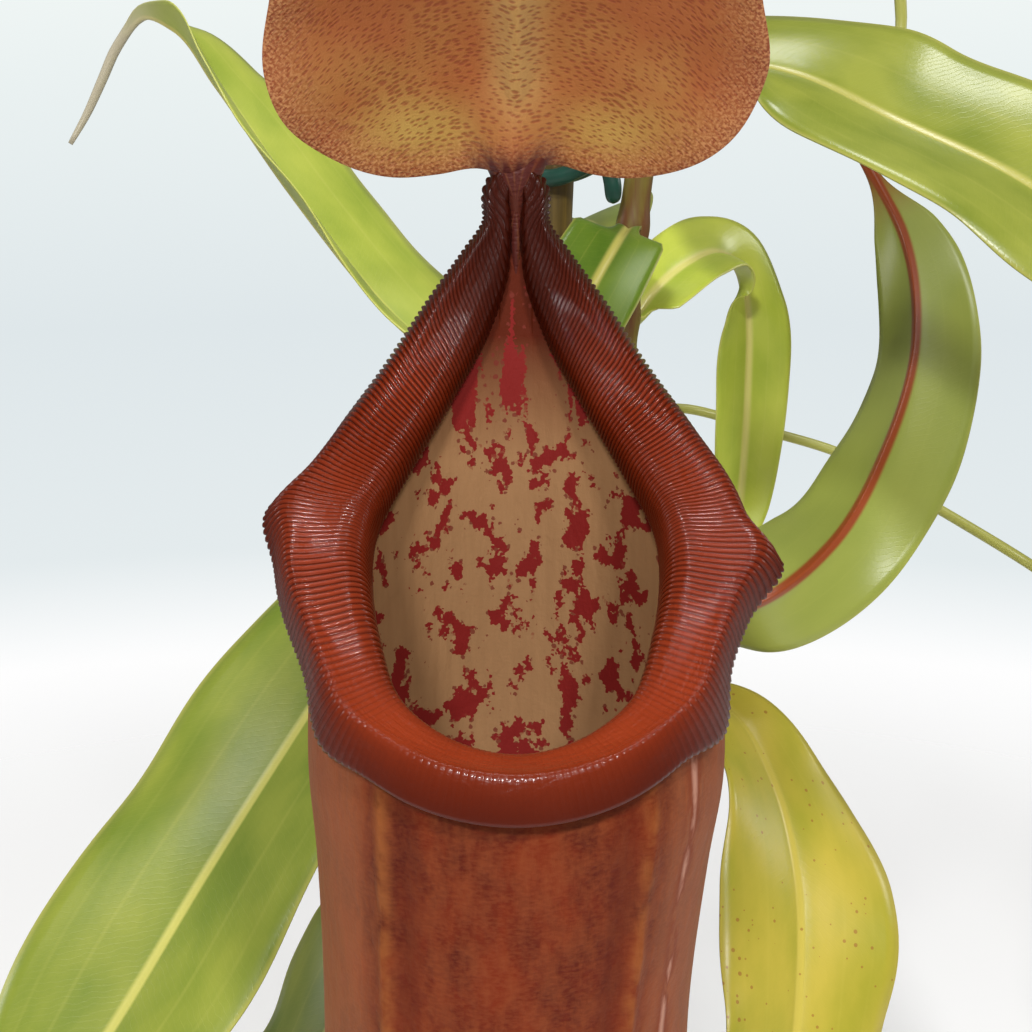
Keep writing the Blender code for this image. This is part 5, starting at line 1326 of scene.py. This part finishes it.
def strewn(template, count, sizes, seed, sink=0.3, flat=0.35):
    """Copies of a small closed shape on the mix: place + turn (size * shape)."""
    chance = np.random.default_rng(seed)
    radius, angle = 65 * np.sqrt(chance.uniform(0.0, 1, count)), chance.uniform(0, 2 * np.pi, count)
    x, y = radius * np.cos(angle), radius * np.sin(angle)
    stem_x, stem_y, _ = stem_at(MIX_LEVEL + 1)[0]
    # The stem and the cane, where they go into the mix, and the room that each needs
    bars = [(stem_x, stem_y, 5.5), (-2.1, 3.2, 4.6)]
    keep = np.all([np.hypot(x - cx, y - cy) > room for cx, cy, room in bars], axis=0)
    x, y, count = x[keep], y[keep], keep.sum()
    spin = chance.uniform(-np.pi, np.pi, count)
    tip, roll = chance.normal(0, flat, count), chance.normal(0, flat, count)
    size = sizes * np.exp(chance.normal(0, 0.28, (count, 3)))
    shape = template[None] * size[:, None, None, :]
    for theta, (p, q) in ((roll, (1, 2)), (tip, (0, 2)), (spin, (0, 1))):
        c, s = np.cos(theta)[:, None, None], np.sin(theta)[:, None, None]
        one, other = shape[..., p].copy(), shape[..., q].copy()
        shape[..., p], shape[..., q] = c * one - s * other, s * one + c * other
    z = mix_height(x, y) + size.min(axis=1) * (1 - 2 * sink)
    return shape + np.stack([x, y, z], -1)[:, None, None], chance.uniform(0, 1, count)


def pebble(sides, rows, squareness):
    """A unit lump: x, y, z = cos^n b cos^n a, cos^n b sin^n a, sin^n b, with signs kept."""
    b = np.linspace(-np.pi / 2 * 0.86, np.pi / 2 * 0.86, rows)[:, None]
    a = np.arange(sides) * 2 * np.pi / sides

    def power(v):
        return np.sign(v) * np.abs(v) ** squareness

    x, y, z = power(np.cos(b)) * power(np.cos(a)), power(np.cos(b)) * power(np.sin(a)), power(np.sin(b))
    return np.stack(np.broadcast_arrays(x, y, z), -1)


def strew(name, material, template, count, sizes, seed, **how):
    """One object of many copies, each with its own tone."""
    shapes, tones = strewn(template, count, np.array(sizes, float), seed, **how)
    shells = [(shape, {"tone": np.full((1, 1), tone)}, False) for shape, tone in zip(shapes, tones)]
    return solid(name, shells, material)


def crumb_material(name, low, high, roughness, grain):
    """Rough crumb of bark, grit or soil: its tone varies from piece to piece, as in a real mix."""
    material, tree, shader = new_material(name, Roughness=roughness, IOR=1.4)
    where = add_node(tree, "TexCoord").outputs["Object"]
    tone = add_node(tree, "Attribute", attribute_name="tone").outputs["Fac"]
    noise = add_node(tree, "TexNoise", {"Vector": where, "Scale": 1 / (grain * MM), "Detail": 4.0})
    blend = add_node(tree, "Math", {0: noise, 1: 0.6, 2: tone}, operation="MULTIPLY_ADD")
    blend = add_node(tree, "MapRange", {0: blend, 1: 0.15, 2: 1.3})
    colour = add_node(tree, "Mix", {0: blend, 6: low, 7: high}, data_type="RGBA")
    tree.links.new(colour.outputs[2], shader.inputs["Base Color"])
    bump = add_node(tree, "Bump", {"Height": noise, "Strength": 0.8, "Distance": 0.4 * MM})
    tree.links.new(bump.outputs[0], shader.inputs["Normal"])
    return material


solid("mix_surface", [(mix_rings(), {"tone": np.full((1, 1), 0.2)}, False)],
      crumb_material("damp_peat", "#1d120b", "#4a3320", 0.9, 0.8), ["potting_mix"])
strew("bark_chips", crumb_material("fir_bark", "#3a2215", "#7d5433", 0.85, 1.5), pebble(8, 5, 0.45), 620,
      (4.2, 2.6, 1.1), 11)
strew("white_grit", crumb_material("perlite", "#c9c5b8", "#efece2", 0.9, 0.6), pebble(7, 5, 0.8), 420,
      (1.1, 1.0, 0.8), 12)
strew("crumbs", crumb_material("peat_crumb", "#24160d", "#5c3d24", 0.9, 0.6), pebble(6, 4, 0.7), 1500,
      (1.3, 1.1, 0.8), 13, sink=0.15)


def moss_rings(count, seed):
    """Strands of moss: short curved bars on the mix, one ring template carried along each."""
    chance = np.random.default_rng(seed)
    share = np.linspace(0, 1, 9)
    radius, angle = 62 * np.sqrt(chance.uniform(0.05, 1, count)), chance.uniform(0, 2 * np.pi, count)
    x0, y0, head = radius * np.cos(angle), radius * np.sin(angle), chance.uniform(0, 2 * np.pi, count)
    bend, long = chance.normal(0, 1.3, count), chance.uniform(6, 15, count)
    heading = head[:, None] + bend[:, None] * share
    step = long[:, None] / 8
    x = x0[:, None] + np.cumsum(np.cos(heading) * step, axis=1)
    y = y0[:, None] + np.cumsum(np.sin(heading) * step, axis=1)
    shrink = np.minimum(1, 64 / np.maximum(np.hypot(x, y), 1e-6))
    x, y = x * shrink, y * shrink
    z = mix_height(x, y) + 0.8 + chance.uniform(0.2, 1.8, (count, 1)) * np.sin(np.pi * share)
    centre = np.stack([x, y, z], -1)
    turn = np.arange(5) * 2 * np.pi / 5
    side = np.stack([-np.sin(heading), np.cos(heading), 0 * heading], -1)
    girth = 0.34 * np.sin(np.pi * (0.08 + 0.88 * share))[:, None]
    spokes = np.cos(turn)[:, None] * side[:, :, None] + np.sin(turn)[:, None] * np.array((0, 0, 1.0))
    return centre[:, :, None] + girth[..., None] * spokes


strands = moss_rings(260, 14)
tones = np.random.default_rng(15).uniform(0, 1, len(strands))
solid("moss_strands", [(ring, {"tone": np.full((1, 1), tone)}, False) for ring, tone in zip(strands, tones)],
      crumb_material("dry_moss", "#7f7a45", "#c3b378", 0.8, 1.0))

# %% [markdown]
# ## Floor and backdrop
#
# The photograph was taken against a bright, faintly blue sheet that goes white towards
# the bottom. The floor here is white close to the pot and fades out; what shows past
# it is the world, a smooth ramp with the height of the line of sight. The plant itself
# is lit by a weaker, even grey, because a bright world would wash out its colours.

# %% Floor and world
floor_mesh = bpy.data.meshes.new("floor")
corners = [(x, y, -0.0005) for x, y in ((-4, -4), (4, -4), (4, 4), (-4, 4))]
floor_mesh.from_pydata(corners, [], [(0, 1, 2, 3)])
floor = bpy.data.objects.new("floor", floor_mesh)
bpy.context.scene.collection.objects.link(floor)
material, tree, shader = new_material("white_sheet", Roughness=0.9, Emission_Strength=0.07)
shader.inputs["Base Color"].default_value = (0.93, 0.93, 0.93, 1)
where = add_node(tree, "TexCoord").outputs["Object"]
far = add_node(tree, "VectorMath", {0: where}, operation="LENGTH")
fade = add_node(tree, "MapRange", {0: far, 1: 0.25, 2: 0.85}, interpolation_type="SMOOTHSTEP")
clear = add_node(tree, "BsdfTransparent")
mixed = add_node(tree, "MixShader", {0: fade, 1: shader, 2: clear})
tree.links.new(mixed.outputs[0], tree.nodes["Material Output"].inputs["Surface"])
floor_mesh.materials.append(material)

world = bpy.data.worlds.new("studio")
bpy.context.scene.world = world
world.use_nodes = True
tree = world.node_tree
sight = add_node(tree, "TexCoord").outputs["Generated"]
height = add_node(tree, "SeparateXYZ", {0: sight}).outputs[2]
share = add_node(tree, "MapRange", {0: height, 1: -0.5, 2: 0.5})
ramp = add_node(tree, "ValToRGB", {0: share})
stops = [(0.0, "#ffffff"), (0.165, "#ffffff"), (0.225, "#e4ebed"), (0.36, "#dfe7ea"), (0.50, "#eaf1f1"),
         (0.62, "#f6fbf8"), (1.0, "#fbfdfc")]
for spot, _ in stops[1:-1]:
    ramp.color_ramp.elements.new(spot)
for element, (spot, colour) in zip(ramp.color_ramp.elements, stops):
    element.position, element.color = spot, linear(colour)
seen = add_node(tree, "Background", {0: ramp, 1: 1.0})
behind = add_node(tree, "SeparateXYZ", {0: sight}).outputs[1]
glow = add_node(tree, "MapRange", {0: behind, 1: -0.4, 2: 0.6, 3: 0.26, 4: 0.22})
table = add_node(tree, "MapRange", {0: height, 1: -0.05, 2: -0.7, 3: 0.0, 4: 0.25})
glow = add_node(tree, "Math", {0: glow, 1: table}, operation="ADD")
lit = add_node(tree, "Background", {0: "#f2efe9", 1: glow})
eye = add_node(tree, "LightPath").outputs["Is Camera Ray"]
both = add_node(tree, "MixShader", {0: eye, 1: lit, 2: seen})
tree.links.new(both.outputs[0], tree.nodes["World Output"].inputs["Surface"])

# %% [markdown]
# ## Lights
#
# Two small panels high in front give the collar its narrow glints. One overhead and one
# on each side soften the shadows, and a low warm one stands for the light that the
# white table throws back up. It is left out of reflections, as a table isn't a lamp.

# %% Lights
def panel(name, place, aim, width, height, power, colour="#ffffff"):
    """A soft panel that faces aim."""
    light = bpy.data.lights.new(name, "AREA")
    light.shape, light.size, light.size_y, light.energy = "RECTANGLE", width, height, power
    light.color = linear(colour)[:3]
    lamp = bpy.data.objects.new(name, light)
    lamp.location = place
    way = np.array(aim, float) - np.array(place, float)
    flat = math.hypot(way[0], way[1])
    lamp.rotation_euler = (math.pi / 2 + math.atan2(way[2], flat), 0, math.atan2(-way[0], way[1]))
    bpy.context.scene.collection.objects.link(lamp)
    return lamp


panel("key", (-0.20, -1.00, 0.98), (0, -0.1, 0.33), 0.13, 0.09, 7.0)
panel("second", (0.26, -0.85, 1.05), (0, -0.1, 0.33), 0.13, 0.09, 6.0)
panel("overhead", (0.0, 0.02, 1.50), (0, 0, 0.3), 0.40, 0.25, 6.0)
panel("left", (-1.1, 0.1, 0.7), (0, 0, 0.3), 0.30, 0.30, 2.8)
panel("right", (1.1, 0.2, 0.7), (0, 0, 0.3), 0.30, 0.30, 2.8)
bounce = panel("bounce", (0.0, -0.75, 0.02), (0, -0.1, 0.36), 0.9, 0.5, 2.2, "#fff4e6")
bounce.visible_glossy = False
